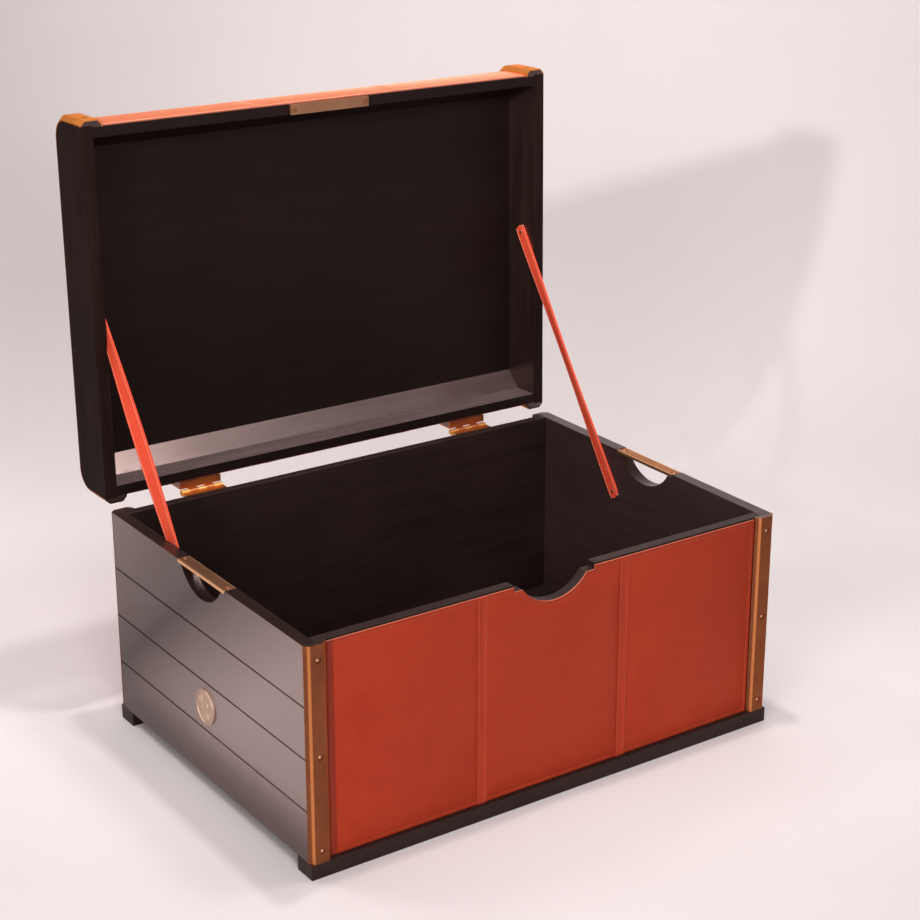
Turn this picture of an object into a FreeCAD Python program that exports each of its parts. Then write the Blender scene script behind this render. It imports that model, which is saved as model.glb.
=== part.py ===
# Trunk with a hinged lid: boarded ends, leather on the front, back and lid, brass corner strips.
# Millimetres. +Z is up, -Y is the front and -X is the left end.
# The origin is the middle of the front runner's underside.
# The lid's pieces are drawn shut and then swung open about the hinge pin.

import FreeCAD
import Part
import Sketcher
import math
import os
import types

sizes = {
    # the whole trunk
    "boxLength": 850,
    "boxDepth": 604,
    "boxHeight": 360,
    "lidHeight": 98,
    "lidGap": 1,
    "openAngle": 91,
    # the two runners it stands on
    "runnerDepth": 40,
    "runnerHeight": 24,
    # boards
    "endThick": 20,
    "wallThick": 16,
    "bottomThick": 12,
    "topThick": 12,
    "boardWidth": 81,
    "boardChamfer": 2.5,
    # leather, lying this far inside the face of the brass strips
    "coverInset": 9,
    "leatherThick": 2.5,
    "leatherMargin": 3,
    "seamWidth": 17,
    "seamThick": 1.5,
    # brass corner strips over wooden stiles
    "stripWidth": 36,
    "stripThick": 2,
    "stripBevel": 7,
    "stripScrewLow": 19,
    "stripScrewHigh": 23,
    # the lid's rounded edges, and the battens inside them
    "cornerRadius": 38,
    "cornerBatten": 28,
    # hand holes, and the brass bars across them
    "fingerRadius": 72,
    "fingerDepth": 40,
    "notchDepth": 10,
    "barLength": 144,
    "barThick": 5,
    "barSink": 0.5,
    "barEndGap": 1.5,
    "barScrewInset": 6,
    # hinges, their middles this far in from the ends
    "hingeInset": 165,
    "hingeLength": 73,
    "hingeThick": 2.5,
    "hingeShelfDrop": 0.5,
    "pinDrop": 2,
    "pinRadius": 2.5,
    "pinFit": 0.05,
    "barrelRadius": 5,
    "barrelClear": 0.5,
    "knuckleGap": 0.3,
    "boxLeafHeight": 55,
    "lidLeafHeight": 42,
    "leafScrewInset": 12,
    # leather stays between the lid and the box
    "stayWidth": 24,
    "stayThick": 3,
    "stayGap": 0.3,
    "stayFootBack": 78,
    "stayFootDrop": 77,
    "stayLidReach": 316.5,
    "stayLidRise": 34,
    # screws: large ones in strips and bars, small ones in stays, long ones in hinges
    "screwHead": 5,
    "screwHeadThick": 1.2,
    "screwShank": 2,
    "screwLength": 20,
    "smallHead": 3.5,
    "smallHeadThick": 1,
    "smallShank": 1.5,
    "smallLength": 14,
    "hingeScrewLength": 26,
    "slotWidth": 1.2,
    "slotDepth": 0.6,
    "screwFit": 0.1,
    # medallion on the left end
    "medalRadius": 28,
    "medalThick": 3,
    "medalRim": 3,
    "medalField": 2,
    "medalBoss": 9,
    "medalHeight": 145.5,
}


class Length:
    """A size worked out from the sheet: its value now, and the expression that keeps it bound."""

    def __init__(self, value, text):
        self.value = value
        self.text = text

    def __add__(self, other):
        other = asLength(other)
        return Length(self.value + other.value, f"({self.text} + {other.text})")

    def __sub__(self, other):
        other = asLength(other)
        return Length(self.value - other.value, f"({self.text} - {other.text})")

    def __mul__(self, other):
        other = asLength(other)
        return Length(self.value * other.value, f"({self.text} * {other.text})")

    def __truediv__(self, other):
        other = asLength(other)
        return Length(self.value / other.value, f"({self.text} / {other.text})")

    def __radd__(self, other):
        return asLength(other) + self

    def __rsub__(self, other):
        return asLength(other) - self

    def __rmul__(self, other):
        return asLength(other) * self

    def __neg__(self):
        return Length(-self.value, f"(-1 * {self.text})")


def asLength(number):
    if isinstance(number, Length):
        return number
    return Length(number, f"({number})")


def root(length):
    return Length(math.sqrt(length.value), f"sqrt({length.text})")


def sine(angle):
    return Length(math.sin(math.radians(angle.value)), f"sin({angle.text})")


def cosine(angle):
    return Length(math.cos(math.radians(angle.value)), f"cos({angle.text})")


def bind(thing, path, length):
    thing.setExpression(path, asLength(length).text)


def makeSheet():
    """Put the driving sizes in a spreadsheet and return them by name."""
    sheet = doc.addObject("Spreadsheet::Sheet", "Sizes")
    size = types.SimpleNamespace()
    for row, (name, value) in enumerate(sizes.items(), 1):
        sheet.set(f"A{row}", name)
        sheet.set(f"B{row}", str(value))
        sheet.setAlias(f"B{row}", name)
        setattr(size, name, Length(value, f"Sizes.{name}"))
    doc.recompute()
    return size


doc = FreeCAD.newDocument("Trunk")
size = makeSheet()
pieces = []
cuts = []

sides = {"left": -1, "right": 1}
faces = ("front", "back")
planeAcross = {"X": "YZ_Plane", "Y": "XZ_Plane", "Z": "XY_Plane"}

# main planes and levels
front = -size.runnerDepth / 2
back = front + size.boxDepth
middle = front + size.boxDepth / 2
end = size.boxLength / 2
endInner = end - size.endThick
rim = size.boxHeight
lidRim = rim + size.lidGap
lidTop = lidRim + size.lidHeight
pinY = back + size.hingeThick + size.barrelClear + size.barrelRadius
pinZ = rim - size.pinDrop

# how far the layers of a covered wall lie inside its brass strips
woodInset = size.coverInset + size.leatherThick
innerInset = woodInset + size.wallThick


# ---- sketches and features -------------------------------------------------------------------

def newBody(label, kept=True):
    body = doc.addObject("PartDesign::Body", label)
    body.Label = label
    if kept:
        pieces.append(body)
    return body


def newSketch(body, axis, level):
    """Empty sketch across an axis of body, at a level along it. The XZ plane's normal is -Y."""
    plane = next(p for p in body.Origin.OriginFeatures if p.Role == planeAcross[axis])
    sketch = body.newObject("Sketcher::SketchObject", body.Name + "_sketch")
    sketch.AttachmentSupport = (plane, [""])
    sketch.MapMode = "FlatFace"
    bind(sketch, "AttachmentOffset.Base.z", -level if axis == "Y" else level)
    return sketch


def addSize(sketch, kind, where, length):
    """Dimension of a sketch, bound to the sheet. It starts at the origin unless it is a radius."""
    if kind == "Radius":
        index = sketch.addConstraint(Sketcher.Constraint(kind, where[0], length.value))
    else:
        index = sketch.addConstraint(Sketcher.Constraint(kind, -1, 1, *where, length.value))
    bind(sketch, f"Constraints[{index}]", length)


def addPoint(sketch, where, x, y):
    addSize(sketch, "DistanceX", where, asLength(x))
    addSize(sketch, "DistanceY", where, asLength(y))


def arcAbout(start, stop, radius):
    """Anticlockwise arc between two points, less than half a turn."""
    half = (stop - start) * 0.5
    across = FreeCAD.Vector(-half.y, half.x, 0).normalize()
    centre = start + half + across * math.sqrt(radius ** 2 - half.Length ** 2)
    first = math.atan2(start.y - centre.y, start.x - centre.x)
    last = math.atan2(stop.y - centre.y, stop.x - centre.x)
    circle = Part.Circle(centre, FreeCAD.Vector(0, 0, 1), radius)
    return Part.ArcOfCircle(circle, first, last)


def draw(sketch, corners, closed=True):
    """Draw lines from corner to corner. A corner is (x, y), or (x, y, radius) where a convex arc
    of that radius leads to the next one."""
    points = [FreeCAD.Vector(asLength(c[0]).value, asLength(c[1]).value, 0) for c in corners]
    area = sum(p.cross(q).z for p, q in zip(points, points[1:] + points[:1]))
    spans = len(corners) if closed else len(corners) - 1
    ends = []
    for index in range(spans):
        start = points[index]
        stop = points[(index + 1) % len(points)]
        if len(corners[index]) == 2:
            sketch.addGeometry(Part.LineSegment(start, stop))
            ends.append((1, 2))
        elif area > 0:
            sketch.addGeometry(arcAbout(start, stop, corners[index][2].value))
            ends.append((1, 2))
        else:
            sketch.addGeometry(arcAbout(stop, start, corners[index][2].value))
            ends.append((2, 1))
    for index in range(spans):
        following = (index + 1) % spans
        if closed or following:
            joined = (index, ends[index][1], following, ends[following][0])
            sketch.addConstraint(Sketcher.Constraint("Coincident", *joined))
        addPoint(sketch, (index, ends[index][0]), corners[index][0], corners[index][1])
        if len(corners[index]) == 3:
            addSize(sketch, "Radius", (index,), corners[index][2])
    if not closed:
        addPoint(sketch, (spans - 1, ends[-1][1]), corners[-1][0], corners[-1][1])


def drawCircles(sketch, centres, radius):
    for index, (x, y) in enumerate(centres):
        centre = FreeCAD.Vector(asLength(x).value, asLength(y).value, 0)
        sketch.addGeometry(Part.Circle(centre, FreeCAD.Vector(0, 0, 1), radius.value))
        addPoint(sketch, (index, 3), x, y)
        addSize(sketch, "Radius", (index,), radius)


def padSketch(body, sketch, length):
    feature = body.newObject("PartDesign::Pad", body.Name + "_pad")
    feature.Profile = sketch
    bind(feature, "Length", length)


def pad(body, axis, span, corners):
    """Extrude an outline along an axis between the two levels of span."""
    low, high = inOrder(*span)
    sketch = newSketch(body, axis, high if axis == "Y" else low)
    draw(sketch, corners)
    padSketch(body, sketch, high - low)


def padCircle(body, axis, span, centre, radius):
    low, high = inOrder(*span)
    sketch = newSketch(body, axis, high if axis == "Y" else low)
    drawCircles(sketch, [centre], radius)
    padSketch(body, sketch, high - low)


def cutSketch(body, sketch, facing, depth):
    """Cut a sketch into body. Facing is the side the cut is made from, such as -Y."""
    feature = body.newObject("PartDesign::Pocket", body.Name + "_cut")
    feature.Profile = sketch
    feature.Reversed = facing in ("-X", "+Y", "-Z")
    bind(feature, "Length", depth)
    cuts.append(feature)


def cut(body, facing, level, depth, corners):
    sketch = newSketch(body, facing[1], level)
    draw(sketch, corners)
    cutSketch(body, sketch, facing, depth)


def drill(body, facing, level, depth, centres, radius):
    sketch = newSketch(body, facing[1], level)
    drawCircles(sketch, centres, radius)
    cutSketch(body, sketch, facing, depth)


def inOrder(one, other):
    return (one, other) if one.value <= other.value else (other, one)


def rectangle(x, y):
    return [(x[0], y[0]), (x[1], y[0]), (x[1], y[1]), (x[0], y[1])]


def block(label, x, y, z, kept=True):
    """Plain block between pairs of planes."""
    box = doc.addObject("Part::Box", label)
    box.Label = label
    for axis, side, span in zip("xyz", ("Length", "Width", "Height"), (x, y, z)):
        low, high = inOrder(*span)
        bind(box, side, high - low)
        bind(box, f"Placement.Base.{axis}", low)
    if kept:
        pieces.append(box)
    return box


def gather(label, members):
    """Several solids as one group."""
    group = doc.addObject("Part::Compound", label)
    group.Label = label
    group.Links = members
    pieces.append(group)
    return group


def turned(label, corners, kept=True):
    """Solid turned about Z from an outline in (radius, height)."""
    body = newBody(label, kept)
    sketch = newSketch(body, "Y", asLength(0))
    draw(sketch, corners)
    feature = body.newObject("PartDesign::Revolution", label + "_turn")
    feature.Profile = sketch
    feature.ReferenceAxis = (sketch, ["V_Axis"])
    feature.Angle = 360
    return body


def swung(y, z):
    """Where a point of the shut lid lies, in a plane across the pin, once the lid is open."""
    across = y - pinY
    above = z - pinZ
    openY = pinY + across * cosine(size.openAngle) + above * sine(size.openAngle)
    openZ = pinZ + above * cosine(size.openAngle) - across * sine(size.openAngle)
    return openY, openZ


def swing(piece):
    """Open the lid: turn a piece that is drawn shut about the hinge pin."""
    piece.Placement = FreeCAD.Placement(FreeCAD.Vector(), turnAboutPin)
    baseY, baseZ = swung(asLength(0), asLength(0))
    bind(piece, "Placement.Base.y", baseY)
    bind(piece, "Placement.Base.z", baseZ)
    bind(piece, "Placement.Rotation.Angle", size.openAngle)


turnAboutPin = FreeCAD.Rotation(FreeCAD.Vector(-1, 0, 0), size.openAngle.value)


# ---- screws ----------------------------------------------------------------------------------

directions = {
    "-X": FreeCAD.Vector(-1, 0, 0),
    "+X": FreeCAD.Vector(1, 0, 0),
    "-Y": FreeCAD.Vector(0, -1, 0),
    "+Y": FreeCAD.Vector(0, 1, 0),
    "-Z": FreeCAD.Vector(0, 0, -1),
    "+Z": FreeCAD.Vector(0, 0, 1),
}


def makeScrew(label, head, headThick, shank, length):
    """Slotted screw that points down, its head's face at the origin."""
    zero = asLength(0)
    profile = [
        (zero, -length), (shank, shank - length), (shank, -headThick),
        (head, -headThick), (head, zero), (zero, zero),
    ]
    body = turned(label, profile, kept=False)
    slot = rectangle((-head, head), (-size.slotWidth / 2, size.slotWidth / 2))
    cut(body, "+Z", zero, size.slotDepth, slot)
    return types.SimpleNamespace(
        body=body, head=head, headThick=headThick, shank=shank, length=length)


largeScrew = makeScrew(
    "large_screw", size.screwHead, size.screwHeadThick, size.screwShank, size.screwLength)
smallScrew = makeScrew(
    "small_screw", size.smallHead, size.smallHeadThick, size.smallShank, size.smallLength)
hingeScrew = makeScrew(
    "hinge_screw", size.smallHead, size.smallHeadThick, size.smallShank, size.hingeScrewLength)


def row(facing, level, spots):
    """Screws whose heads lie in one plane, at two coordinates each."""
    return types.SimpleNamespace(facing=facing, level=level, spots=spots)


def boreFor(screw, body, screws, seat=False):
    """Holes for a row of screws. The outermost piece is also sunk to seat their heads."""
    depth = screw.length + size.screwFit
    drill(body, screws.facing, screws.level, depth, screws.spots, screw.shank + size.screwFit)
    if seat:
        radius = screw.head + size.screwFit
        drill(body, screws.facing, screws.level, screw.headThick, screws.spots, radius)


def placeScrews(label, screw, rows):
    """All the screws of some rows, as one group."""
    links = []
    for screws in rows:
        turn = FreeCAD.Rotation(directions["+Z"], directions[screws.facing])
        for spot in screws.spots:
            link = doc.addObject("App::Link", label + "_one")
            link.LinkedObject = screw.body
            link.Placement = FreeCAD.Placement(FreeCAD.Vector(), turn)
            place = list(spot)
            place.insert("XYZ".index(screws.facing[1]), screws.level)
            for axis, length in zip("xyz", place):
                bind(link, f"Placement.Base.{axis}", length)
            links.append(link)
    return gather(label, links)


# ---- box -------------------------------------------------------------------------------------

def fromFace(face, inset):
    """Y of a plane that lies inset behind the front or back face."""
    return front + inset if face == "front" else back - inset


stripScrewX = end - size.stripWidth / 2
stripScrewLevels = [
    size.runnerHeight + size.stripScrewLow,
    (size.runnerHeight + rim) / 2 - (size.stripScrewHigh - size.stripScrewLow) / 2,
    rim - size.stripScrewHigh,
]


def stripScrews(face, side):
    facing = "-Y" if face == "front" else "+Y"
    spots = [(side * stripScrewX, level) for level in stripScrewLevels]
    return row(facing, fromFace(face, 0), spots)


barScrewReach = size.barLength / 2 - size.barScrewInset
barTop = rim - size.barSink


def handleScrews(side):
    across = side * (end - size.endThick / 2)
    spots = [(across, middle - barScrewReach), (across, middle + barScrewReach)]
    return row("+Z", barTop, spots)


def stayFootScrew(side):
    facing = "-X" if side > 0 else "+X"
    level = side * (endInner - size.stayGap - size.stayThick - size.smallHeadThick)
    return row(facing, level, [(middle + size.stayFootBack, rim - size.stayFootDrop)])


def cutFingerHole(body, facing, level, depth, centre):
    """Part of a circle that dips below the rim."""
    height = rim - size.fingerDepth + size.fingerRadius
    drill(body, facing, level, depth, [(centre, height)], size.fingerRadius)


def makeRunners():
    for face in faces:
        span = (fromFace(face, 0), fromFace(face, size.runnerDepth))
        block(f"{face}_runner", (-end, end), span, (asLength(0), size.runnerHeight))


def endBoardProfile(side, low, high, groovedBelow, groovedAbove):
    """Section of a board in X and Z, chamfered outside where another board meets it."""
    outer = side * end
    inner = side * endInner
    chamfered = side * (end - size.boardChamfer)
    corners = [(inner, low)]
    if groovedBelow:
        corners += [(chamfered, low), (outer, low + size.boardChamfer)]
    else:
        corners += [(outer, low)]
    if groovedAbove:
        corners += [(outer, high - size.boardChamfer), (chamfered, high)]
    else:
        corners += [(outer, high)]
    corners += [(inner, high)]
    return corners


def makeEndBoards():
    """Three narrow boards and a top board with the hand hole at each end."""
    count = 4
    along = (fromFace("front", size.coverInset), fromFace("back", size.coverInset))
    for name, side in sides.items():
        for index in range(count):
            low = size.runnerHeight + size.boardWidth * index
            high = rim if index == count - 1 else low + size.boardWidth
            body = newBody(f"{name}_end_board_{index + 1}")
            pad(body, "Y", along, endBoardProfile(side, low, high, index > 0, index < count - 1))
            boreEndBoard(body, side, low, high)
        facing = "+X" if side > 0 else "-X"
        cutFingerHole(body, facing, side * end, size.endThick, middle)
        reach = size.barLength / 2 + size.barEndGap
        recess = rectangle((middle - reach, middle + reach), (barTop - size.barThick, rim))
        cut(body, facing, side * end, size.endThick, recess)
        boreFor(largeScrew, body, handleScrews(side))


def boreEndBoard(body, side, low, high):
    """Holes for the screws of the strips and the stay that fall within one board."""
    rows = [(largeScrew, stripScrews(face, side)) for face in faces]
    rows.append((smallScrew, stayFootScrew(side)))
    for screw, screws in rows:
        screws.spots = [spot for spot in screws.spots if low.value < spot[1].value < high.value]
        if screws.spots:
            boreFor(screw, body, screws)


def cutFrontNotch(body, face, depth):
    """Step for the lid's pull bar, with the finger hole below it."""
    level = fromFace("front", face)
    reach = size.barLength / 2 + size.barEndGap
    cutFingerHole(body, "-Y", level, depth, 0)
    cut(body, "-Y", level, depth, rectangle((-reach, reach), (rim - size.notchDepth, rim)))


def makeWalls():
    level = (size.runnerHeight, rim)
    for face in faces:
        body = newBody(f"{face}_board")
        span = (fromFace(face, woodInset), fromFace(face, innerInset))
        pad(body, "Y", span, rectangle((-endInner, endInner), level))
        if face == "front":
            cutFrontNotch(body, woodInset, size.wallThick)
        else:
            for side in sides.values():
                boreFor(hingeScrew, body, boxLeafScrews(side))


def makeBottom():
    depth = (fromFace("front", innerInset), fromFace("back", innerInset))
    height = (size.runnerHeight, size.runnerHeight + size.bottomThick)
    block("bottom_panel", (-endInner, endInner), depth, height)


leatherEnd = end - size.stripWidth
seamMiddle = leatherEnd / 3


def makeBoxLeather():
    """Front leather in three equal panels that meet under the seam strips, and one at the back."""
    level = (size.runnerHeight, rim - size.leatherMargin)
    seams = [-leatherEnd, -seamMiddle, seamMiddle, leatherEnd]
    panels = zip(("left", "centre", "right"), seams, seams[1:])
    for name, low, high in panels:
        body = newBody(f"front_leather_{name}")
        span = (fromFace("front", size.coverInset), fromFace("front", woodInset))
        pad(body, "Y", span, rectangle((low, high), level))
        if name == "centre":
            cutFrontNotch(body, size.coverInset, size.leatherThick)
    body = newBody("back_leather")
    span = (fromFace("back", size.coverInset), fromFace("back", woodInset))
    pad(body, "Y", span, rectangle((-leatherEnd, leatherEnd), level))
    for side in sides.values():
        boreFor(hingeScrew, body, boxLeafScrews(side))


def seamSpan(side):
    return side * seamMiddle - size.seamWidth / 2, side * seamMiddle + size.seamWidth / 2


def makeFrontSeams():
    level = (size.runnerHeight, rim - size.leatherMargin)
    depth = (fromFace("front", size.coverInset - size.seamThick), fromFace("front", size.coverInset))
    gather("front_seam_strips", [
        block(f"front_{name}_seam_strip", seamSpan(side), depth, level, kept=False)
        for name, side in sides.items()
    ])


# Sections of the brass strip and the stile under it, as (inward from the end, inward from the face).
mitre = size.stripBevel + size.stripThick * (math.sqrt(2) - 1)
stripSection = [
    (asLength(0), size.coverInset),
    (asLength(0), size.stripBevel),
    (size.stripBevel, asLength(0)),
    (size.stripWidth - size.stripBevel, asLength(0)),
    (size.stripWidth, size.stripBevel),
    (size.stripWidth, woodInset),
    (size.stripWidth - size.stripThick, woodInset),
    (size.stripWidth - size.stripThick, mitre),
    (size.stripWidth - mitre, size.stripThick),
    (mitre, size.stripThick),
    (size.stripThick, mitre),
    (size.stripThick, size.coverInset),
]
stileSection = [
    (size.stripThick, size.coverInset),
    (size.stripThick, mitre),
    (mitre, size.stripThick),
    (size.stripWidth - mitre, size.stripThick),
    (size.stripWidth - size.stripThick, mitre),
    (size.stripWidth - size.stripThick, woodInset),
    (size.endThick, woodInset),
    (size.endThick, size.coverInset),
]


def atCorner(section, side, face):
    return [(side * (end - inward), fromFace(face, inset)) for inward, inset in section]


def makeCorners():
    level = (size.runnerHeight, rim)
    for face in faces:
        for name, side in sides.items():
            stile = newBody(f"{face}_{name}_stile")
            pad(stile, "Z", level, atCorner(stileSection, side, face))
            boreFor(largeScrew, stile, stripScrews(face, side))
            strip = newBody(f"{face}_{name}_corner_strip")
            pad(strip, "Z", level, atCorner(stripSection, side, face))
            boreFor(largeScrew, strip, stripScrews(face, side), seat=True)
    rows = [stripScrews(face, side) for face in faces for side in sides.values()]
    placeScrews("corner_strip_screws", largeScrew, rows)


def makeHandles():
    along = (middle - size.barLength / 2, middle + size.barLength / 2)
    for name, side in sides.items():
        body = newBody(f"{name}_handle_bar")
        across = (side * end, side * endInner)
        pad(body, "Z", (barTop - size.barThick, barTop), rectangle(across, along))
        boreFor(largeScrew, body, handleScrews(side), seat=True)
    placeScrews("handle_bar_screws", largeScrew, [handleScrews(side) for side in sides.values()])


def makeMedallion():
    """Disc with a raised rim and a raised boss."""
    zero = asLength(0)
    rimInner = size.medalRadius - size.medalRim
    body = turned("left_medallion", [
        (zero, zero), (size.medalRadius, zero), (size.medalRadius, size.medalThick),
        (rimInner, size.medalThick), (rimInner, size.medalField),
        (size.medalBoss, size.medalField), (size.medalBoss, size.medalThick),
        (zero, size.medalThick),
    ])
    turn = FreeCAD.Rotation(directions["+Z"], directions["-X"])
    body.Placement = FreeCAD.Placement(FreeCAD.Vector(), turn)
    for axis, length in zip("xyz", (-end, middle, size.medalHeight)):
        bind(body, f"Placement.Base.{axis}", length)


# ---- hinges ----------------------------------------------------------------------------------

hingeMiddle = end - size.hingeInset
padFace = fromFace("back", size.coverInset)
leafFace = back + size.hingeThick
boxShelfTop = rim - size.hingeShelfDrop
boxLeafEdge = boxShelfTop - size.boxLeafHeight
lidLeafEdge = lidRim + size.lidLeafHeight


def hingeSpan(side):
    middleX = side * hingeMiddle
    return middleX - size.hingeLength / 2, middleX + size.hingeLength / 2


def leafScrews(side, low, high):
    """Four screws near the corners of a leaf."""
    start, stop = hingeSpan(side)
    across = (start + size.leafScrewInset, stop - size.leafScrewInset)
    levels = (low + size.leafScrewInset, high - size.leafScrewInset)
    return row("+Y", leafFace, [(x, z) for x in across for z in levels])


def boxLeafScrews(side):
    return leafScrews(side, boxLeafEdge, boxShelfTop)


def lidLeafScrews(side):
    return leafScrews(side, lidRim, lidLeafEdge)


def makeLeaf(label, side, edge, shelf, knuckles):
    """L-shaped leaf round a wooden pad: a flange on the pad's back, a shelf over the pad at the
    rim, and some of the barrel's knuckles. Edge is the flange's free end and shelf the pair of
    levels of the shelf, the one at the rim first."""
    body = newBody(label)
    start, stop = hingeSpan(side)
    face, under = shelf
    pad(body, "X", (start, stop), [
        (padFace, face), (leafFace, face), (leafFace, edge), (back, edge), (back, under),
        (padFace, under),
    ])
    pitch = size.hingeLength / 5
    for index in knuckles:
        low = start + pitch * index + size.knuckleGap / 2
        span = (low, low + pitch - size.knuckleGap)
        pad(body, "X", span, rectangle((leafFace, pinY), inOrder(face, under)))
        padCircle(body, "X", span, (pinY, pinZ), size.barrelRadius)
    bore = size.pinRadius + size.pinFit
    drill(body, "-X", start, size.hingeLength, [(pinY, pinZ)], bore)
    return body


def makeHingePads(label, level, screwsOf):
    """Wooden pads that bring the leaves out to the plane of the brass strips."""
    pads = []
    for name, side in sides.items():
        body = newBody(f"{label}_{name}", kept=False)
        start, stop = hingeSpan(side)
        pad(body, "X", (start, stop), rectangle((padFace, back), inOrder(*level)))
        boreFor(hingeScrew, body, screwsOf(side))
        pads.append(body)
    return gather(label, pads)


def makeHinges():
    boxUnder = boxShelfTop - size.hingeThick
    lidUnder = lidRim + size.hingeThick
    for name, side in sides.items():
        shelf = (boxShelfTop, boxUnder)
        leaf = makeLeaf(f"{name}_hinge_box_leaf", side, boxLeafEdge, shelf, (0, 2, 4))
        boreFor(hingeScrew, leaf, boxLeafScrews(side), seat=True)
        shelf = (lidRim, lidUnder)
        leaf = makeLeaf(f"{name}_hinge_lid_leaf", side, lidLeafEdge, shelf, (1, 3))
        boreFor(hingeScrew, leaf, lidLeafScrews(side), seat=True)
        swing(leaf)
    makeHingePads("hinge_box_pads", (boxLeafEdge, boxUnder), boxLeafScrews)
    swing(makeHingePads("hinge_lid_pads", (lidUnder, lidLeafEdge), lidLeafScrews))
    placeScrews("hinge_box_screws", hingeScrew, [boxLeafScrews(side) for side in sides.values()])
    group = [lidLeafScrews(side) for side in sides.values()]
    swing(placeScrews("hinge_lid_screws", hingeScrew, group))


def makeHingePins():
    pins = []
    for name, side in sides.items():
        pin = doc.addObject("Part::Cylinder", f"{name}_hinge_pin")
        along = FreeCAD.Rotation(directions["+Z"], directions["+X"])
        pin.Placement = FreeCAD.Placement(FreeCAD.Vector(), along)
        bind(pin, "Radius", size.pinRadius)
        bind(pin, "Height", size.hingeLength)
        bind(pin, "Placement.Base.x", hingeSpan(side)[0])
        bind(pin, "Placement.Base.y", pinY)
        bind(pin, "Placement.Base.z", pinZ)
        pins.append(pin)
    gather("hinge_pins", pins)


# ---- lid -------------------------------------------------------------------------------------

arcCentreZ = lidTop - size.cornerRadius
panelLow = lidTop - woodInset - size.topThick


def lidStripScrews(side):
    """Rows of screws in one of the lid's straps: one low on each face and three on top."""
    across = side * stripScrewX
    level = lidRim + size.stripScrewHigh
    nearEdge = size.cornerRadius + size.stripScrewHigh
    top = [(across, y) for y in (front + nearEdge, middle, back - nearEdge)]
    return [
        row("-Y", front, [(across, level)]),
        row("+Y", back, [(across, level)]),
        row("+Z", lidTop, top),
    ]


def pullScrews():
    inset = woodInset + size.wallThick / 2
    spots = [(side * barScrewReach, fromFace("front", inset)) for side in sides.values()]
    return row("-Z", lidRim - size.barThick, spots)


def stayLidScrew(side):
    facing = "-X" if side > 0 else "+X"
    level = side * (endInner - size.stayGap - size.stayThick - size.smallHeadThick)
    return row(facing, level, [(back - size.stayLidReach, lidRim + size.stayLidRise)])


def makeLidEnds():
    """End panels with the lid's rounded outline."""
    radius = size.cornerRadius - size.coverInset
    low = fromFace("front", size.coverInset)
    high = fromFace("back", size.coverInset)
    top = lidTop - size.coverInset
    for name, side in sides.items():
        body = newBody(f"lid_{name}_end")
        pad(body, "X", (side * endInner, side * end), [
            (low, lidRim), (high, lidRim), (high, arcCentreZ, radius), (high - radius, top),
            (low + radius, top, radius), (low, arcCentreZ),
        ])
        for screws in lidStripScrews(side):
            boreFor(largeScrew, body, screws)
        boreFor(smallScrew, body, stayLidScrew(side))
        swing(body)


def makeLidRails():
    """Front and back rails, their outer top corners on the arc of the rounded edge."""
    radius = size.cornerRadius - woodInset
    rise = panelLow - arcCentreZ
    run = root(radius * radius - rise * rise)
    for face in faces:
        body = newBody(f"lid_{face}_rail")
        outer = fromFace(face, woodInset)
        inner = fromFace(face, innerInset)
        onArc = fromFace(face, size.cornerRadius - run)
        pad(body, "X", (-endInner, endInner), [
            (inner, lidRim), (inner, panelLow), (onArc, panelLow, radius),
            (outer, arcCentreZ), (outer, lidRim),
        ])
        if face == "front":
            boreFor(largeScrew, body, pullScrews())
        else:
            for side in sides.values():
                boreFor(hingeScrew, body, lidLeafScrews(side))
        swing(body)


def makeLidTop():
    """Top panel, its edges on the arcs that the rails begin."""
    radius = size.cornerRadius - woodInset
    rise = panelLow - arcCentreZ
    run = root(radius * radius - rise * rise)
    top = lidTop - woodInset
    body = newBody("lid_top_panel")
    pad(body, "X", (-endInner, endInner), [
        (fromFace("front", size.cornerRadius - run), panelLow),
        (fromFace("back", size.cornerRadius - run), panelLow, radius),
        (fromFace("back", size.cornerRadius), top),
        (fromFace("front", size.cornerRadius), top, radius),
    ])
    swing(body)


def makeLidBattens():
    """Three-cornered battens that stiffen the joints between the rails and the top panel."""
    for face in faces:
        body = newBody(f"lid_{face}_corner_batten")
        pad(body, "X", (-endInner, endInner), [
            (fromFace(face, innerInset), panelLow - size.cornerBatten),
            (fromFace(face, innerInset), panelLow),
            (fromFace(face, innerInset + size.cornerBatten), panelLow),
        ])
        swing(body)


def sweepOverLid(body, start, section):
    """Carry a section, drawn at the foot of the front face, up the front, over the top and down
    the back of the lid."""
    profile = newSketch(body, "Z", start)
    draw(profile, section)
    path = newSketch(body, "X", asLength(0))
    radius = size.cornerRadius
    draw(path, [
        (front, start), (front, arcCentreZ, radius), (front + radius, lidTop),
        (back - radius, lidTop, radius), (back, arcCentreZ), (back, start),
    ], closed=False)
    feature = body.newObject("PartDesign::AdditivePipe", body.Name + "_pipe")
    feature.Profile = profile
    feature.Spine = path


def makeLidStraps():
    for name, side in sides.items():
        stile = newBody(f"lid_{name}_stile")
        sweepOverLid(stile, lidRim, atCorner(stileSection, side, "front"))
        strap = newBody(f"lid_{name}_strap")
        sweepOverLid(strap, lidRim, atCorner(stripSection, side, "front"))
        for screws in lidStripScrews(side):
            boreFor(largeScrew, stile, screws)
            boreFor(largeScrew, strap, screws, seat=True)
        swing(stile)
        swing(strap)
    rows = [screws for side in sides.values() for screws in lidStripScrews(side)]
    swing(placeScrews("lid_strap_screws", largeScrew, rows))


def makeLidLeather():
    body = newBody("lid_leather")
    depth = (fromFace("front", size.coverInset), fromFace("front", woodInset))
    section = rectangle((-leatherEnd, leatherEnd), depth)
    sweepOverLid(body, lidRim + size.leatherMargin, section)
    for side in sides.values():
        boreFor(hingeScrew, body, lidLeafScrews(side))
    swing(body)


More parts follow.
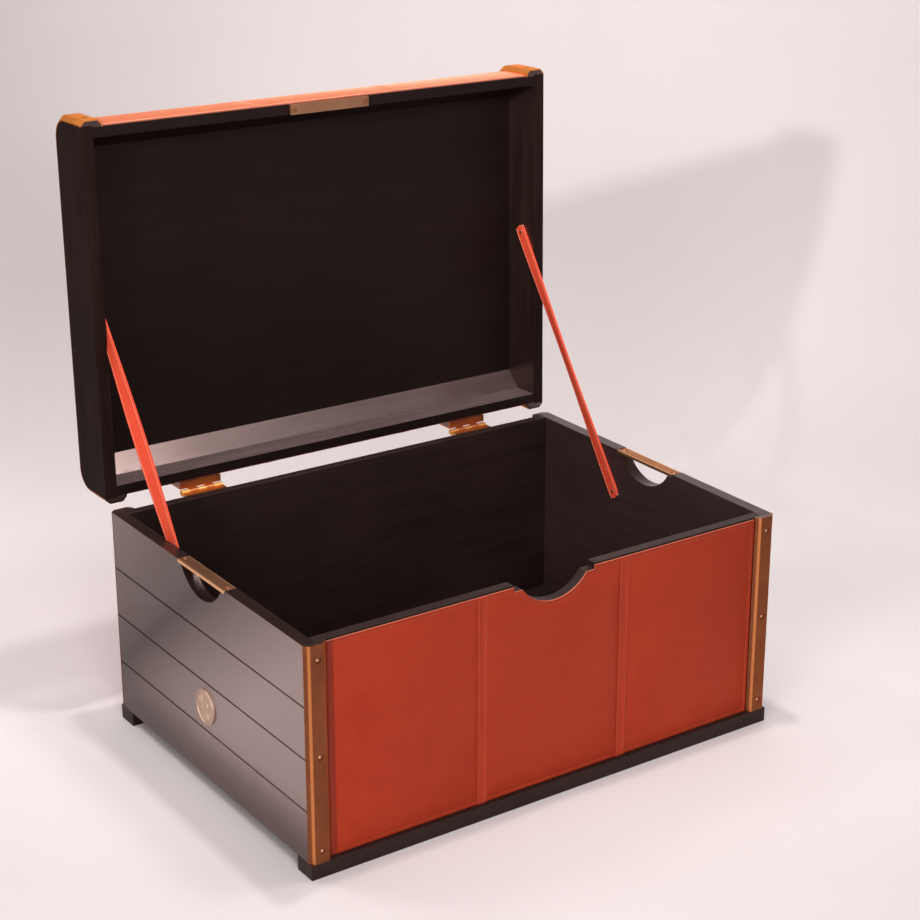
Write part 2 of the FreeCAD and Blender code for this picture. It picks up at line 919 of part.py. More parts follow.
def makeLidSeams():
    """The two seam strips of the lid, as one group."""
    strips = []
    depth = (fromFace("front", size.coverInset - size.seamThick), fromFace("front", size.coverInset))
    for name, side in sides.items():
        body = newBody(f"lid_{name}_seam_strip", kept=False)
        sweepOverLid(body, lidRim + size.leatherMargin, rectangle(seamSpan(side), depth))
        strips.append(body)
    swing(gather("lid_seam_strips", strips))


def makePull():
    body = newBody("lid_pull_bar")
    depth = (fromFace("front", woodInset), fromFace("front", innerInset))
    across = (-size.barLength / 2, size.barLength / 2)
    pad(body, "Z", (lidRim - size.barThick, lidRim), rectangle(across, depth))
    boreFor(largeScrew, body, pullScrews(), seat=True)
    swing(body)
    swing(placeScrews("lid_pull_screws", largeScrew, [pullScrews()]))


# ---- stays -----------------------------------------------------------------------------------

def drawSlot(sketch, foot, head, radius):
    """Strip with round ends about two centres."""
    start = FreeCAD.Vector(foot[0].value, foot[1].value, 0)
    stop = FreeCAD.Vector(head[0].value, head[1].value, 0)
    along = (stop - start).normalize()
    offset = FreeCAD.Vector(-along.y, along.x, 0) * radius.value
    turn = math.atan2(offset.y, offset.x)
    normal = FreeCAD.Vector(0, 0, 1)
    lowEnd = Part.Circle(start, normal, radius.value)
    highEnd = Part.Circle(stop, normal, radius.value)
    sketch.addGeometry(Part.ArcOfCircle(lowEnd, turn, turn + math.pi))
    sketch.addGeometry(Part.LineSegment(start - offset, stop - offset))
    sketch.addGeometry(Part.ArcOfCircle(highEnd, turn - math.pi, turn))
    sketch.addGeometry(Part.LineSegment(stop + offset, start + offset))
    for index in range(4):
        sketch.addConstraint(Sketcher.Constraint("Tangent", index, 2, (index + 1) % 4, 1))
    sketch.addConstraint(Sketcher.Constraint("Equal", 0, 2))
    addPoint(sketch, (0, 3), *foot)
    addPoint(sketch, (2, 3), *head)
    addSize(sketch, "Radius", (0,), radius)


def makeStays():
    """Leather straps, pulled straight by the open lid, that lie flat by the end walls."""
    for name, side in sides.items():
        footScrew = stayFootScrew(side)
        foot = footScrew.spots[0]
        head = swung(*stayLidScrew(side).spots[0])
        outer = side * (endInner - size.stayGap)
        inner = side * (endInner - size.stayGap - size.stayThick)
        low, high = inOrder(inner, outer)
        body = newBody(f"{name}_leather_stay")
        sketch = newSketch(body, "X", low)
        drawSlot(sketch, foot, head, size.stayWidth / 2)
        padSketch(body, sketch, high - low)
        drill(body, footScrew.facing, inner, size.stayThick, [foot, head],
              size.smallShank + size.screwFit)
    placeScrews("stay_box_screws", smallScrew, [stayFootScrew(side) for side in sides.values()])
    group = [stayLidScrew(side) for side in sides.values()]
    swing(placeScrews("stay_lid_screws", smallScrew, group))


# ---- build, check and write ------------------------------------------------------------------

def build():
    makeRunners()
    makeEndBoards()
    makeWalls()
    makeBottom()
    makeBoxLeather()
    makeFrontSeams()
    makeCorners()
    makeHandles()
    makeMedallion()
    makeHinges()
    makeHingePins()
    makeLidEnds()
    makeLidRails()
    makeLidTop()
    makeLidBattens()
    makeLidStraps()
    makeLidLeather()
    makeLidSeams()
    makePull()
    makeStays()
    doc.recompute()


def check():
    """Stop unless everything was rebuilt, each cut removed something and each piece is sound."""
    for thing in doc.Objects:
        if "Invalid" in thing.State or "Error" in thing.State:
            raise RuntimeError(f"{thing.Label} failed: {thing.State}")
    for feature in cuts:
        if feature.Shape.Volume >= feature.BaseFeature.Shape.Volume - 0.1:
            raise RuntimeError(f"{feature.Label} cut nothing")
    for piece in pieces:
        shape = piece.Shape
        if shape.isNull() or not shape.isValid() or not shape.Solids:
            raise RuntimeError(f"{piece.Label} has no sound shape")


def write():
    os.makedirs("parts", exist_ok=True)
    for piece in pieces:
        piece.Shape.exportStep(f"parts/{piece.Label}.step")
        volume = sum(solid.Volume for solid in piece.Shape.Solids)
        print(f"{piece.Label}: {len(piece.Shape.Solids)} solid(s), {volume / 1000:.1f} cm3")
    print(f"{len(pieces)} sub-parts")


build()
check()
write()
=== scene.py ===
import math

import bmesh
import bpy
from mathutils import Matrix, Vector


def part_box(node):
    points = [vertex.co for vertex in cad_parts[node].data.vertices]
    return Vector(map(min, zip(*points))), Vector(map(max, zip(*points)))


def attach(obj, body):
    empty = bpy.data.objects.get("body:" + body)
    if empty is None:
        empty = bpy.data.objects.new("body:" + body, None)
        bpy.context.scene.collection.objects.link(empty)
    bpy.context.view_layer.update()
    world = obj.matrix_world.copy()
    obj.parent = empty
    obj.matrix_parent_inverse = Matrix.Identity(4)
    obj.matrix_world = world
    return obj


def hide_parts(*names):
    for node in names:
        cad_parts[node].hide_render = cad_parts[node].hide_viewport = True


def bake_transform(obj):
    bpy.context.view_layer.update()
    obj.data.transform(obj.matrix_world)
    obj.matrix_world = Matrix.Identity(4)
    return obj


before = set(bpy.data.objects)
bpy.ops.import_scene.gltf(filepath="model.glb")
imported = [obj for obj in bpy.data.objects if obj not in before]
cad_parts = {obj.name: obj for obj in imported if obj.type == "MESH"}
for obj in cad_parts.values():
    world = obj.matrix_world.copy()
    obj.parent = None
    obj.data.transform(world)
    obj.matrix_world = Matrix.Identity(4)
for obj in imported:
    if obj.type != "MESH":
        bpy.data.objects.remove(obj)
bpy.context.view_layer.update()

# main planes of the trunk, metres; -Y is the front and -X the left end
trunk = {
    "end": 0.425, "endInner": 0.405, "front": -0.02, "back": 0.584, "footTop": 0.024, "rim": 0.36,
    "lidRim": 0.361, "lidTop": 0.459, "coverInset": 0.009, "cornerRadius": 0.038, "leatherMargin": 0.003,
    "leatherThick": 0.0025, "leatherEnd": 0.389, "seamMiddle": 0.389 / 3, "boardMiddle": 0.415,
    "stayFoot": (0.36, 0.283), "stayHead": (0.2675, 0.395), "pin": Vector((0, 0.592, 0.358)),
    "openAngle": 91,
}
front, back, rim, lidRim, lidTop, leatherEnd, pin = (
    trunk[key] for key in ("front", "back", "rim", "lidRim", "lidTop", "leatherEnd", "pin"))
middleY = (front + back) / 2
openTurn = Matrix.Rotation(math.radians(-trunk["openAngle"]), 4, "X")
sides = {"left": -1, "right": 1}

# metres within which two places are the same, and how squarely a picked face looks along an axis
hair = 0.0001
gap = 0.001
square = 0.9


# picking, editing and finishing

def clearSelection():
    if bpy.context.object and bpy.context.object.mode != "OBJECT":
        bpy.ops.object.mode_set(mode="OBJECT")
    bpy.ops.object.select_all(action="DESELECT")


def pick(*things):
    clearSelection()
    for thing in things:
        thing.select_set(True)
    bpy.context.view_layer.objects.active = things[0]


def settle(thing):
    pick(thing)
    bpy.ops.object.transform_apply(location=True, rotation=True, scale=True)


def linked(name, data):
    thing = bpy.data.objects.new(name, data)
    bpy.context.scene.collection.objects.link(thing)
    return thing


def remove(*things):
    for thing in things:
        bpy.data.objects.remove(thing)


def named(name):
    thing = bpy.context.object
    thing.name = name
    thing.data.name = name
    settle(thing)
    return thing


def addBlock(name, low, high):
    clearSelection()
    centre = [(a + b) / 2 for a, b in zip(low, high)]
    size = [b - a for a, b in zip(low, high)]
    bpy.ops.mesh.primitive_cube_add(size=1, location=centre, scale=size)
    return named(name)


def addRound(name, centre, radius, depth, axis="Z", vertices=64):
    clearSelection()
    turn = {"X": (0, math.pi / 2, 0), "Y": (math.pi / 2, 0, 0), "Z": (0, 0, 0)}[axis]
    bpy.ops.mesh.primitive_cylinder_add(
        vertices=vertices, radius=radius, depth=depth, location=centre, rotation=turn)
    return named(name)


def applied(thing, kind, **settings):
    pick(thing)
    modifier = thing.modifiers.new(kind.title(), kind)
    for key, value in settings.items():
        setattr(modifier, key, value)
    bpy.ops.object.modifier_apply(modifier=modifier.name)
    return thing


def carve(thing, *cutters):
    for cutter in cutters:
        applied(thing, "BOOLEAN", operation="DIFFERENCE", solver="EXACT", object=cutter)
        remove(cutter)
    return thing


def roundEdges(thing, width, segments=2, angle=30):
    pick(thing)
    bpy.ops.object.shade_smooth()
    return applied(
        thing, "BEVEL", width=width, segments=segments, limit_method="ANGLE",
        angle_limit=math.radians(angle), harden_normals=True)


def startEdit(thing, element):
    pick(thing)
    bpy.ops.object.mode_set(mode="EDIT")
    bpy.ops.mesh.select_mode(type=element)
    bpy.ops.mesh.select_all(action="DESELECT")
    return bmesh.from_edit_mesh(thing.data)


def choose(thing, element, test):
    mesh = startEdit(thing, element)
    for part in mesh.faces if element == "FACE" else mesh.edges:
        part.select = test(part)
    mesh.select_flush_mode()
    bmesh.update_edit_mesh(thing.data)


def chooseFaces(thing, test):
    choose(thing, "FACE", lambda face: test(face.calc_center_median(), face.normal))


def chooseEdges(thing, test):
    choose(thing, "EDGE", lambda edge: test(edge.verts[0].co, edge.verts[1].co))


def leaveEdit():
    bpy.ops.object.mode_set(mode="OBJECT")


# each step insets the chosen faces by its first value and lifts them by its second
def insetFaces(thing, test, *steps):
    chooseFaces(thing, test)
    for thickness, depth in steps:
        bpy.ops.mesh.inset(thickness=thickness, depth=depth)
    leaveEdit()


def bevelEdges(thing, test, width, segments=1):
    chooseEdges(thing, test)
    bpy.ops.mesh.bevel(offset=width, segments=segments, affect="EDGES", clamp_overlap=True)
    leaveEdit()
    return thing


def joined(name, things):
    pick(*things)
    if len(things) > 1:
        bpy.ops.object.join()
    return named(name)


def swingOpen(thing):
    thing.matrix_world = Matrix.Translation(pin) @ openTurn @ Matrix.Translation(-pin)
    settle(thing)
    return thing


copyCare = {"merge": 0.00001, "flatAngle": 0.6}


# a copy of a solid's mesh with its triangles merged and its edges rounded
def softenedCopy(node, width, segments=2):
    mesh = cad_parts[node].data.copy()
    mesh.materials.clear()
    thing = linked(node + "_piece", mesh)
    pick(thing)
    bpy.ops.object.mode_set(mode="EDIT")
    bpy.ops.mesh.select_all(action="SELECT")
    bpy.ops.mesh.remove_doubles(threshold=copyCare["merge"])
    bpy.ops.mesh.customdata_custom_splitnormals_clear()
    bpy.ops.mesh.dissolve_limited(angle_limit=math.radians(copyCare["flatAngle"]))
    leaveEdit()
    return roundEdges(thing, width, segments)


def finishPiece(thing, body, slot, finish, *nodes):
    thing.data.materials.clear()
    thing.data.materials.append(finish.material)
    if body:
        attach(thing, body)
    if nodes:
        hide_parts(*nodes)
    return thing


def paintFaces(thing, finish, test):
    thing.data.materials.append(finish.material)
    chooseFaces(thing, test)
    thing.active_material_index = len(thing.data.materials) - 1
    bpy.ops.object.material_slot_assign()
    leaveEdit()
    return thing


def dress(node, finish):
    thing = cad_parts[node]
    for slot in thing.material_slots:
        slot.material = finish.material


# shader maths: a socket with arithmetic, and a material with one way to add a node

class Field:
    def __init__(self, finish, socket):
        self.finish = finish
        self.socket = socket

    def sum(self, operation, first, second):
        return self.finish.add("Math", {"operation": operation}, {0: first, 1: second})

    def __abs__(self):
        return self.sum("ABSOLUTE", self, 0)

    def __add__(self, other):
        return self.sum("ADD", self, other)

    def __sub__(self, other):
        return self.sum("SUBTRACT", self, other)

    def __mul__(self, other):
        return self.sum("MULTIPLY", self, other)

    def __rsub__(self, other):
        return self.sum("SUBTRACT", other, self)

    __radd__ = __add__
    __rmul__ = __mul__


class Finish:
    def __init__(self, name, **uniform):
        self.material = bpy.data.materials.new(name)
        self.material.use_nodes = True
        self.tree = self.material.node_tree
        self.shader = self.tree.nodes["Principled BSDF"]
        self.place = self.add("TexCoord", output="Object")
        for key, value in uniform.items():
            self.plug(self.shader.inputs[key.replace("_", " ")], value)

    def plug(self, socket, value):
        if isinstance(value, Field):
            self.tree.links.new(value.socket, socket)
        elif isinstance(value, tuple) and len(value) == 3 and socket.type == "RGBA":
            socket.default_value = (*value, 1)
        else:
            socket.default_value = value

    def add(self, kind, settings=None, inputs=None, output=0):
        node = self.tree.nodes.new("ShaderNode" + kind)
        for key, value in (settings or {}).items():
            setattr(node, key, value)
        for key, value in (inputs or {}).items():
            self.plug(node.inputs[key], value)
        return Field(self, node.outputs[output])

    def scaled(self, x, y, z, warp=None):
        place = self.place
        if warp is not None:
            place = self.add("VectorMath", {"operation": "ADD"}, {0: place, 1: warp})
        return self.add("Mapping", None, {"Vector": place, "Scale": (x, y, z)})

    def stretched(self, grain, length, width):
        return self.scaled(*[length if axis == grain else width for axis in "XYZ"])

    def axes(self):
        return [self.add("SeparateXYZ", None, {0: self.place}, index) for index in range(3)]

    def noise(self, scale, detail, rough, place=None, output="Fac"):
        inputs = {"Vector": place or self.place, "Scale": scale, "Detail": detail, "Roughness": rough}
        return self.add("TexNoise", None, inputs, output)

    def ramp(self, value, low, high):
        return self.add(
            "MapRange", {"clamp": True},
            {"Value": value, "From Min": low, "From Max": high, "To Min": 0.0, "To Max": 1.0})

    def blend(self, factor, first, second):
        return self.add(
            "Mix", {"data_type": "RGBA"}, {0: factor, 6: first, 7: second}, output=2)

    def bump(self, height, strength, distance, under=None):
        inputs = {"Height": height, "Strength": strength, "Distance": distance}
        if under is not None:
            inputs["Normal"] = under
        return self.add("Bump", None, inputs)

    def surface(self, colour, rough, normal):
        for name, value in (("Base Color", colour), ("Roughness", rough), ("Normal", normal)):
            self.plug(self.shader.inputs[name], value)
        return self


def lacqueredWood(name, grain, look, coatAndSheenMask=None):
    wood = Finish(name, IOR=look["bend"], Coat_Weight=look["coat"], Coat_Roughness=look["coatRough"],
                  Coat_IOR=look["coatBend"], Specular_IOR_Level=look["shine"],
                  Specular_Tint=look["shineTint"])
    figure = wood.noise(1.0, detail=5, rough=0.6, place=wood.stretched(grain, *look["grainScale"]))
    pores = wood.noise(1.0, detail=2, rough=0.5, place=wood.stretched(grain, *look["poreScale"]))
    pores = wood.ramp(pores, *look["poreRange"])
    cloud = wood.noise(look["cloud"], detail=3, rough=0.5)
    rubbed = wood.ramp(wood.noise(look["rub"], detail=6, rough=0.7), *look["rubRange"])
    tone = figure * look["figureShare"] + cloud * (1 - look["figureShare"])
    colour = wood.blend(wood.ramp(tone, *look["toneRange"]), look["dark"], look["light"])
    colour = wood.blend(pores * look["poreShade"], colour, look["pore"])
    rough = (look["rough"] + cloud * look["cloudRough"] + pores * look["poreRough"]
             - rubbed * look["rubRough"])
    # the mask lightens the colour and sets the coat: varnish on the rails, a painted reflection on the ends
    if coatAndSheenMask:
        thick = coatAndSheenMask(*wood.axes())
        colour = wood.blend(thick, colour, look["under"])
        wood.plug(wood.shader.inputs["Coat Weight"], thick)
    height = figure * look["figureHeight"] - pores * (1 - look["figureHeight"])
    return wood.surface(colour, rough, wood.bump(height, look["relief"], look["depth"]))


def hide(name, look, darkening=None):
    leather = Finish(name, Specular_IOR_Level=look["shine"], Specular_Tint=look["shineTint"],
                     Sheen_Weight=look["sheen"], Sheen_Roughness=look["sheenRough"],
                     Sheen_Tint=look["sheenTint"])
    wander = leather.noise(look["wanderScale"], detail=2, rough=0.5, output="Color")
    wander = leather.add(
        "VectorMath", {"operation": "SCALE"}, {0: wander, "Scale": look["wanderReach"]})
    cells = leather.add(
        "TexVoronoi", {"feature": "DISTANCE_TO_EDGE"},
        {"Vector": leather.scaled(1, 1, 1, wander), "Scale": look["grain"]})
    creases = 1 - leather.ramp(cells, 0.0, look["creaseWidth"])
    broad = leather.noise(look["cloud"], detail=4, rough=0.6)
    mottle = leather.noise(look["mottleScale"], detail=5, rough=0.65)
    specks = leather.noise(look["speckScale"], detail=3, rough=0.6)
    tone = broad * look["broadShare"] + mottle * (1 - look["broadShare"])
    colour = leather.blend(leather.ramp(tone, *look["toneRange"]), look["dark"], look["light"])
    colour = leather.blend(creases * look["creaseShade"], colour, look["crease"])
    # the darkening includes a painted shadow beside the left corner strip
    if darkening:
        colour = leather.blend(darkening(*leather.axes()), colour, look["darkened"])
    rough = look["rough"] + mottle * look["mottleRough"] + creases * look["creaseRough"]
    height = specks * look["speckHeight"] - creases * (1 - look["speckHeight"])
    small = leather.bump(height, look["relief"], look["depth"])
    return leather.surface(colour, rough, leather.bump(broad, look["swell"], look["swellDepth"], small))


def agedBrass(name, grain, look, paintedHighlight=None):
    brass = Finish(name, Metallic=1.0, Specular_Tint=look["edgeTint"])
    brushed = brass.noise(1.0, detail=3, rough=0.6, place=brass.stretched(grain, *look["brushScale"]))
    tarnished = brass.ramp(brass.noise(look["cloud"], detail=4, rough=0.6), *look["tarnishRange"])
    spots = brass.ramp(brass.noise(look["spotScale"], detail=3, rough=0.6), *look["spotRange"])
    tone = tarnished * look["tarnishShare"] + brushed * (1 - look["tarnishShare"])
    colour = brass.blend(tone, look["bright"], look["dull"])
    # painted highlight: on strip ridges and bar edges, and the strap's lit colour over the lid front
    if paintedHighlight:
        colour = brass.blend(paintedHighlight(*brass.axes()), colour, look["paintedHighlight"])
    colour = brass.blend(spots * look["spotShade"], colour, look["spot"])
    rough = (look["rough"] + tarnished * look["tarnishRough"] + brushed * look["brushRough"]
             + spots * look["spotRough"])
    height = brushed * look["brushHeight"] + spots * (1 - look["brushHeight"])
    return brass.surface(colour, rough, brass.bump(height, look["relief"], look["depth"]))


# the ridge between face and bevel gets a painted highlight
def alongStripEdges(x, y, z):
    away = abs(abs(x) - stripLook["middle"])
    start, fade = stripLook["flat"], stripLook["fade"]
    end = start + stripLook["ridge"]
    return x.finish.ramp(away, start, start + fade) * (1 - x.finish.ramp(away, end, end + fade))


# the strap has its lit brass colour only over the lid front; elsewhere it keeps a darker colour as painted
# shade
def overLidFront(x, y, z):
    return x.finish.ramp(z, brassLook["strapTurn"], brassLook["strapTurn"] + brassLook["strapFade"])


# the handle bars' long edges get a painted highlight
def alongBarEdges(x, y, z):
    away = abs(abs(x) - barLook["middle"])
    return x.finish.ramp(away, barLook["flat"], barLook["flat"] + barLook["barFade"])


woodLook = {
    "dark": (0.01, 0.005, 0.0042), "light": (0.026, 0.0135, 0.0115), "pore": (0.004, 0.0025, 0.002),
    "grainScale": (5.0, 70.0), "poreScale": (40.0, 1300.0), "cloud": 6.0,
    "rub": 14.0, "rough": 0.26, "relief": 0.35, "bend": 2.0, "coat": 0.12, "coatRough": 0.18,
    "coatBend": 1.5, "under": (0.018, 0.009, 0.008), "shine": 0.5, "shineTint": (1.0, 0.7, 0.66),
    "poreRange": (0.6, 0.74), "rubRange": (0.52, 0.8), "toneRange": (0.36, 0.66), "figureShare": 0.6,
    "poreShade": 0.5, "cloudRough": 0.1, "poreRough": 0.08, "rubRough": 0.06, "figureHeight": 0.35,
    "depth": 0.0002,
}
woodX = lacqueredWood("dark_wood_along_x", "X", woodLook)


# painted reflection on the ends' outer faces: the colour is lightened and coated, least along a slanting
# dark band, less behind and above it, and less on the lowest board
def paintedEndReflection(x, y, z):
    shine, look, end = x.finish, endLook, trunk["end"]
    outside = shine.ramp(abs(x), end - look["skinFrom"], end - look["skinTo"])
    away = y + z * look["slant"] - look["middle"]
    band = shine.ramp(abs(away), 0.0, look["wide"])
    band = band * (1 - shine.ramp(away, 0.0, look["fall"]) * look["fallShare"])
    low = shine.ramp(z, *look["lowRange"]) * (1 - look["lowLeast"]) + look["lowLeast"]
    return outside * band * low * look["most"]


# the ends' under colour is the lighter colour of their painted reflection
endLook = dict(
    woodLook, dark=(0.015, 0.0078, 0.0068), light=(0.0225, 0.0118, 0.01), bend=1.5, coat=0.0,
    coatRough=0.14, coatBend=2.35, under=(0.15, 0.04, 0.024), skinFrom=0.0012, skinTo=0.0004,
    slant=1.25, middle=0.705, wide=0.3, fall=0.12, fallShare=0.55, lowRange=(0.045, 0.125),
    lowLeast=0.22, most=0.88)
woodY = lacqueredWood("end_wood_along_y", "Y", endLook, paintedEndReflection)
woodZ = lacqueredWood("dark_wood_along_z", "Z", woodLook)

liningLook = dict(woodLook, dark=(0.0085, 0.0044, 0.0038), light=(0.02, 0.0105, 0.009), rough=0.48,
                  relief=0.55, coat=0.0, bend=1.5, shine=0.35)
insideX = lacqueredWood("inside_wood_along_x", "X", liningLook)
insideY = lacqueredWood("inside_wood_along_y", "Y", dict(
    liningLook, dark=(0.032, 0.017, 0.0168), light=(0.048, 0.0255, 0.0252)))
runnerX = lacqueredWood("runner_wood_along_x", "X", dict(
    woodLook, dark=(0.008, 0.0038, 0.003), light=(0.02, 0.0098, 0.008), coat=0.0, bend=1.5, shine=0.3,
    rough=0.45))
lidLook = dict(woodLook, rough=0.55, coat=0.0, bend=1.45, shine=0.05, light=(0.022, 0.0115, 0.0098))
lidWoodZ = lacqueredWood("lid_wood_along_z", "Z", lidLook)
panelLook = dict(liningLook, dark=(0.003, 0.0014, 0.0012), light=(0.0072, 0.0034, 0.003), shine=0.22)
lidInsideX = lacqueredWood("lid_inside_along_x", "X", panelLook)
# the back batten is a lighter copy of the wood, as a painted reflection
battenLook = dict(woodLook, bend=1.75, coat=0.0, rough=0.15, relief=0.2, dark=(0.04, 0.028, 0.026),
                  light=(0.07, 0.05, 0.046))
battenWood = lacqueredWood("batten_wood", "X", battenLook)
# a much lighter wood, painted sheen on the back rail's upward inner face
paintedSheenWood = lacqueredWood("painted_sheen_wood", "X", dict(
    battenLook, dark=(0.105, 0.074, 0.07), light=(0.16, 0.115, 0.108), bend=1.8, rough=0.2))


# the lid's rails are varnished, but not on the rim
def behindRim(x, y, z):
    depth = (y - pin.y) - (z - pin.z) * math.tan(math.radians(trunk["openAngle"] - 90))
    return x.finish.ramp(depth, railLook["rim"], railLook["rim"] + railLook["fade"])


railLook = dict(panelLook, coatRough=0.3, rim=0.004, fade=0.002)
railWood = lacqueredWood("rail_wood", "X", railLook, behindRim)


# the leather is darker upwards and to the right, and has a painted shadow beside the left corner strip
def darkerParts(x, y, z):
    shade, look = x.finish, coverLook
    strip = shade.ramp(x * -1, *look["stripRange"]) * look["stripShade"]
    right = shade.ramp(x, *look["rightRange"]) * look["rightShade"]
    return shade.ramp(z, *look["upRange"]) * (look["upShade"] + right) + strip


coverLook = {
    "dark": (0.42, 0.037, 0.0125), "light": (0.53, 0.054, 0.019), "crease": (0.22, 0.016, 0.007),
    "darkened": (0.16, 0.019, 0.012), "grain": 820.0, "cloud": 3.2, "rough": 0.5, "relief": 0.45,
    "shine": 0.2, "shineTint": (1.0, 0.7, 0.58), "sheen": 0.0, "sheenRough": 0.35,
    "sheenTint": (1.0, 0.52, 0.3), "wanderScale": 60.0, "wanderReach": 0.0022, "creaseWidth": 0.16,
    "mottleScale": 38.0, "speckScale": 950.0, "broadShare": 0.6, "toneRange": (0.34, 0.68),
    "creaseShade": 0.35, "mottleRough": 0.1, "creaseRough": 0.12, "speckHeight": 0.25, "depth": 0.00012,
    "swell": 0.35, "swellDepth": 0.0012, "stripRange": (0.3755, 0.3795), "stripShade": 0.6,
    "rightRange": (0.05, 0.38), "rightShade": 0.1, "upRange": (0.06, 0.37), "upShade": 0.24,
}
coverHide = hide("cover_leather", coverLook, darkerParts)
# a lighter, oranger copy of the cover leather, painted light on the lid leather's upward faces; its sheen
# is real
paintedLitHide = hide("lid_leather", dict(
    coverLook, dark=(0.42, 0.09, 0.034), light=(0.51, 0.118, 0.046), rough=0.52, shine=0.15, sheen=0.72,
    sheenTint=(0.92, 0.64, 0.42)))
# the lighter colour of raw cut edges, also a painted highlight on upward and front-facing edges
cutEdgeAndHighlight = hide("cut_edge_and_highlight", dict(coverLook, dark=(0.46, 0.13, 0.08), light=(0.62, 0.23, 0.15)))
seamHide = hide("seam_leather", dict(coverLook, dark=(0.4, 0.038, 0.015), light=(0.52, 0.056, 0.023)))
# the welts are a little lighter than the seam strips, as a painted highlight
weltHide = hide("seam_welt", dict(coverLook, dark=(0.42, 0.044, 0.018), light=(0.54, 0.066, 0.028)))
stayHide = hide("stay_leather", dict(
    coverLook, dark=(0.82, 0.076, 0.034), light=(0.94, 0.112, 0.05), crease=(0.6, 0.05, 0.02)))

stripLook = {
    "bright": (0.29, 0.1, 0.042), "dull": (0.17, 0.05, 0.024), "paintedHighlight": (0.6, 0.22, 0.075),
    "spot": (0.1, 0.035, 0.02), "edgeTint": (1.0, 0.62, 0.38), "cloud": 22.0,
    "brushScale": (40.0, 1400.0), "rough": 0.34, "relief": 0.35, "middle": 0.407,
    "flat": 0.0108, "ridge": 0.0032, "fade": 0.0008, "spotScale": 520.0, "spotRange": (0.66, 0.8),
    "spotShade": 0.45, "tarnishRange": (0.3, 0.72), "tarnishShare": 0.55, "tarnishRough": 0.06,
    "brushRough": 0.1, "spotRough": 0.08, "brushHeight": 0.5, "depth": 0.00006,
}
brassLook = {"strapTurn": 0.918, "strapFade": 0.025, "stripEdge": 0.0012, "strapEdge": 0.0004,
             "strapShadeFrom": 0.5, "barEdge": 0.0012, "leafEdge": 0.0003, "pullEdge": 0.0006}
goldLook = dict(stripLook, bright=(0.96, 0.38, 0.085), dull=(0.76, 0.25, 0.055), rough=0.28)
# a darker copy of the strip brass, as painted shade, for the back strips and the straps
shadedBrassLook = dict(stripLook, bright=(0.26, 0.09, 0.038), dull=(0.15, 0.045, 0.022))
strapLook = dict(shadedBrassLook, paintedHighlight=(0.9, 0.33, 0.085), rough=0.3)
hingeLook = dict(stripLook, bright=(0.84, 0.42, 0.13), dull=(0.52, 0.22, 0.07), rough=0.3)
# the lid's hinge leaves are a darker copy of the hinge brass, as painted shade
shadedLeafLook = dict(stripLook, bright=(0.56, 0.2, 0.075), dull=(0.32, 0.1, 0.04), rough=0.32)
barLook = dict(
    stripLook, bright=(0.5, 0.25, 0.145), dull=(0.34, 0.16, 0.092), paintedHighlight=(0.8, 0.48, 0.27),
    edgeTint=(1.0, 0.72, 0.52), middle=trunk["boardMiddle"], flat=0.008, barFade=0.0006)
stripBrass = agedBrass("strip_brass", "Z", stripLook, alongStripEdges)
shadedBackBrass = agedBrass("shaded_back_strip_brass", "Z", shadedBrassLook)
strapBrass = agedBrass("strap_brass", "Y", strapLook, overLidFront)
barBrass = agedBrass("bar_brass", "Y", barLook, alongBarEdges)
hingeBrass = agedBrass("hinge_brass", "X", hingeLook)
shadedLeafBrass = agedBrass("shaded_leaf_brass", "X", shadedLeafLook)
# near-black brass, painted shade on the straps' faces that look to the front with the lid open
paintedStrapShade = agedBrass("paintedStrapShade", "Y", dict(
    stripLook, bright=(0.045, 0.02, 0.013), dull=(0.022, 0.011, 0.008)))
pullBrass = agedBrass("pull_brass", "X", dict(
    barLook, bright=(0.52, 0.27, 0.15), dull=(0.34, 0.16, 0.09)))
screwBrass = agedBrass("screw_brass", "X", dict(
    stripLook, bright=(0.46, 0.2, 0.1), dull=(0.28, 0.11, 0.05)))
stripScrew = agedBrass("strip_screw", "X", dict(
    goldLook, bright=(0.92, 0.62, 0.42), dull=(0.66, 0.38, 0.24)))
polishedScrew = agedBrass("polished_screw", "X", dict(
    goldLook, bright=(0.98, 0.86, 0.66), dull=(0.86, 0.62, 0.4)))


threadLook = {"fuzz": 0.2, "mottle": 260.0, "toneRange": (0.3, 0.7), "twist": 1500.0, "rough": 0.55,
              "twistRough": 0.2, "relief": 0.5, "depth": 0.0001}


def waxedThread(name, dark, light):
    thread = Finish(name, Sheen_Weight=threadLook["fuzz"])
    tone = thread.noise(threadLook["mottle"], detail=3, rough=0.6)
    twist = thread.noise(1.0, detail=2, rough=0.5, place=thread.scaled(*[threadLook["twist"]] * 3))
    colour = thread.blend(thread.ramp(tone, *threadLook["toneRange"]), dark, light)
    rough = threadLook["rough"] + twist * threadLook["twistRough"]
    return thread.surface(colour, rough, thread.bump(twist, threadLook["relief"], threadLook["depth"]))


coverThread = waxedThread("cover_thread", (0.36, 0.055, 0.024), (0.54, 0.11, 0.05))
stayThread = waxedThread("stay_thread", (0.8, 0.36, 0.24), (0.92, 0.56, 0.42))
print("finishes ready")


# boards and runners

boardLook = {
    "edge": 0.0009, "runnerEdge": 0.0012, "chamfer": 0.0015, "cutAngle": 25, "holeRadius": 0.072,
    "holeDrop": 0.04, "holeSides": 160, "holeCut": 0.06, "barReach": 0.0735, "barSeat": 0.0055,
    "pullSeat": 0.01, "past": 0.01, "topNumber": 4,
}


def plainBoard(node, finish, width=boardLook["edge"]):
    board = addBlock(node + "_piece", *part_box(node))
    roundEdges(board, width)
    finishPiece(board, "box", "dark_wood", finish, node)


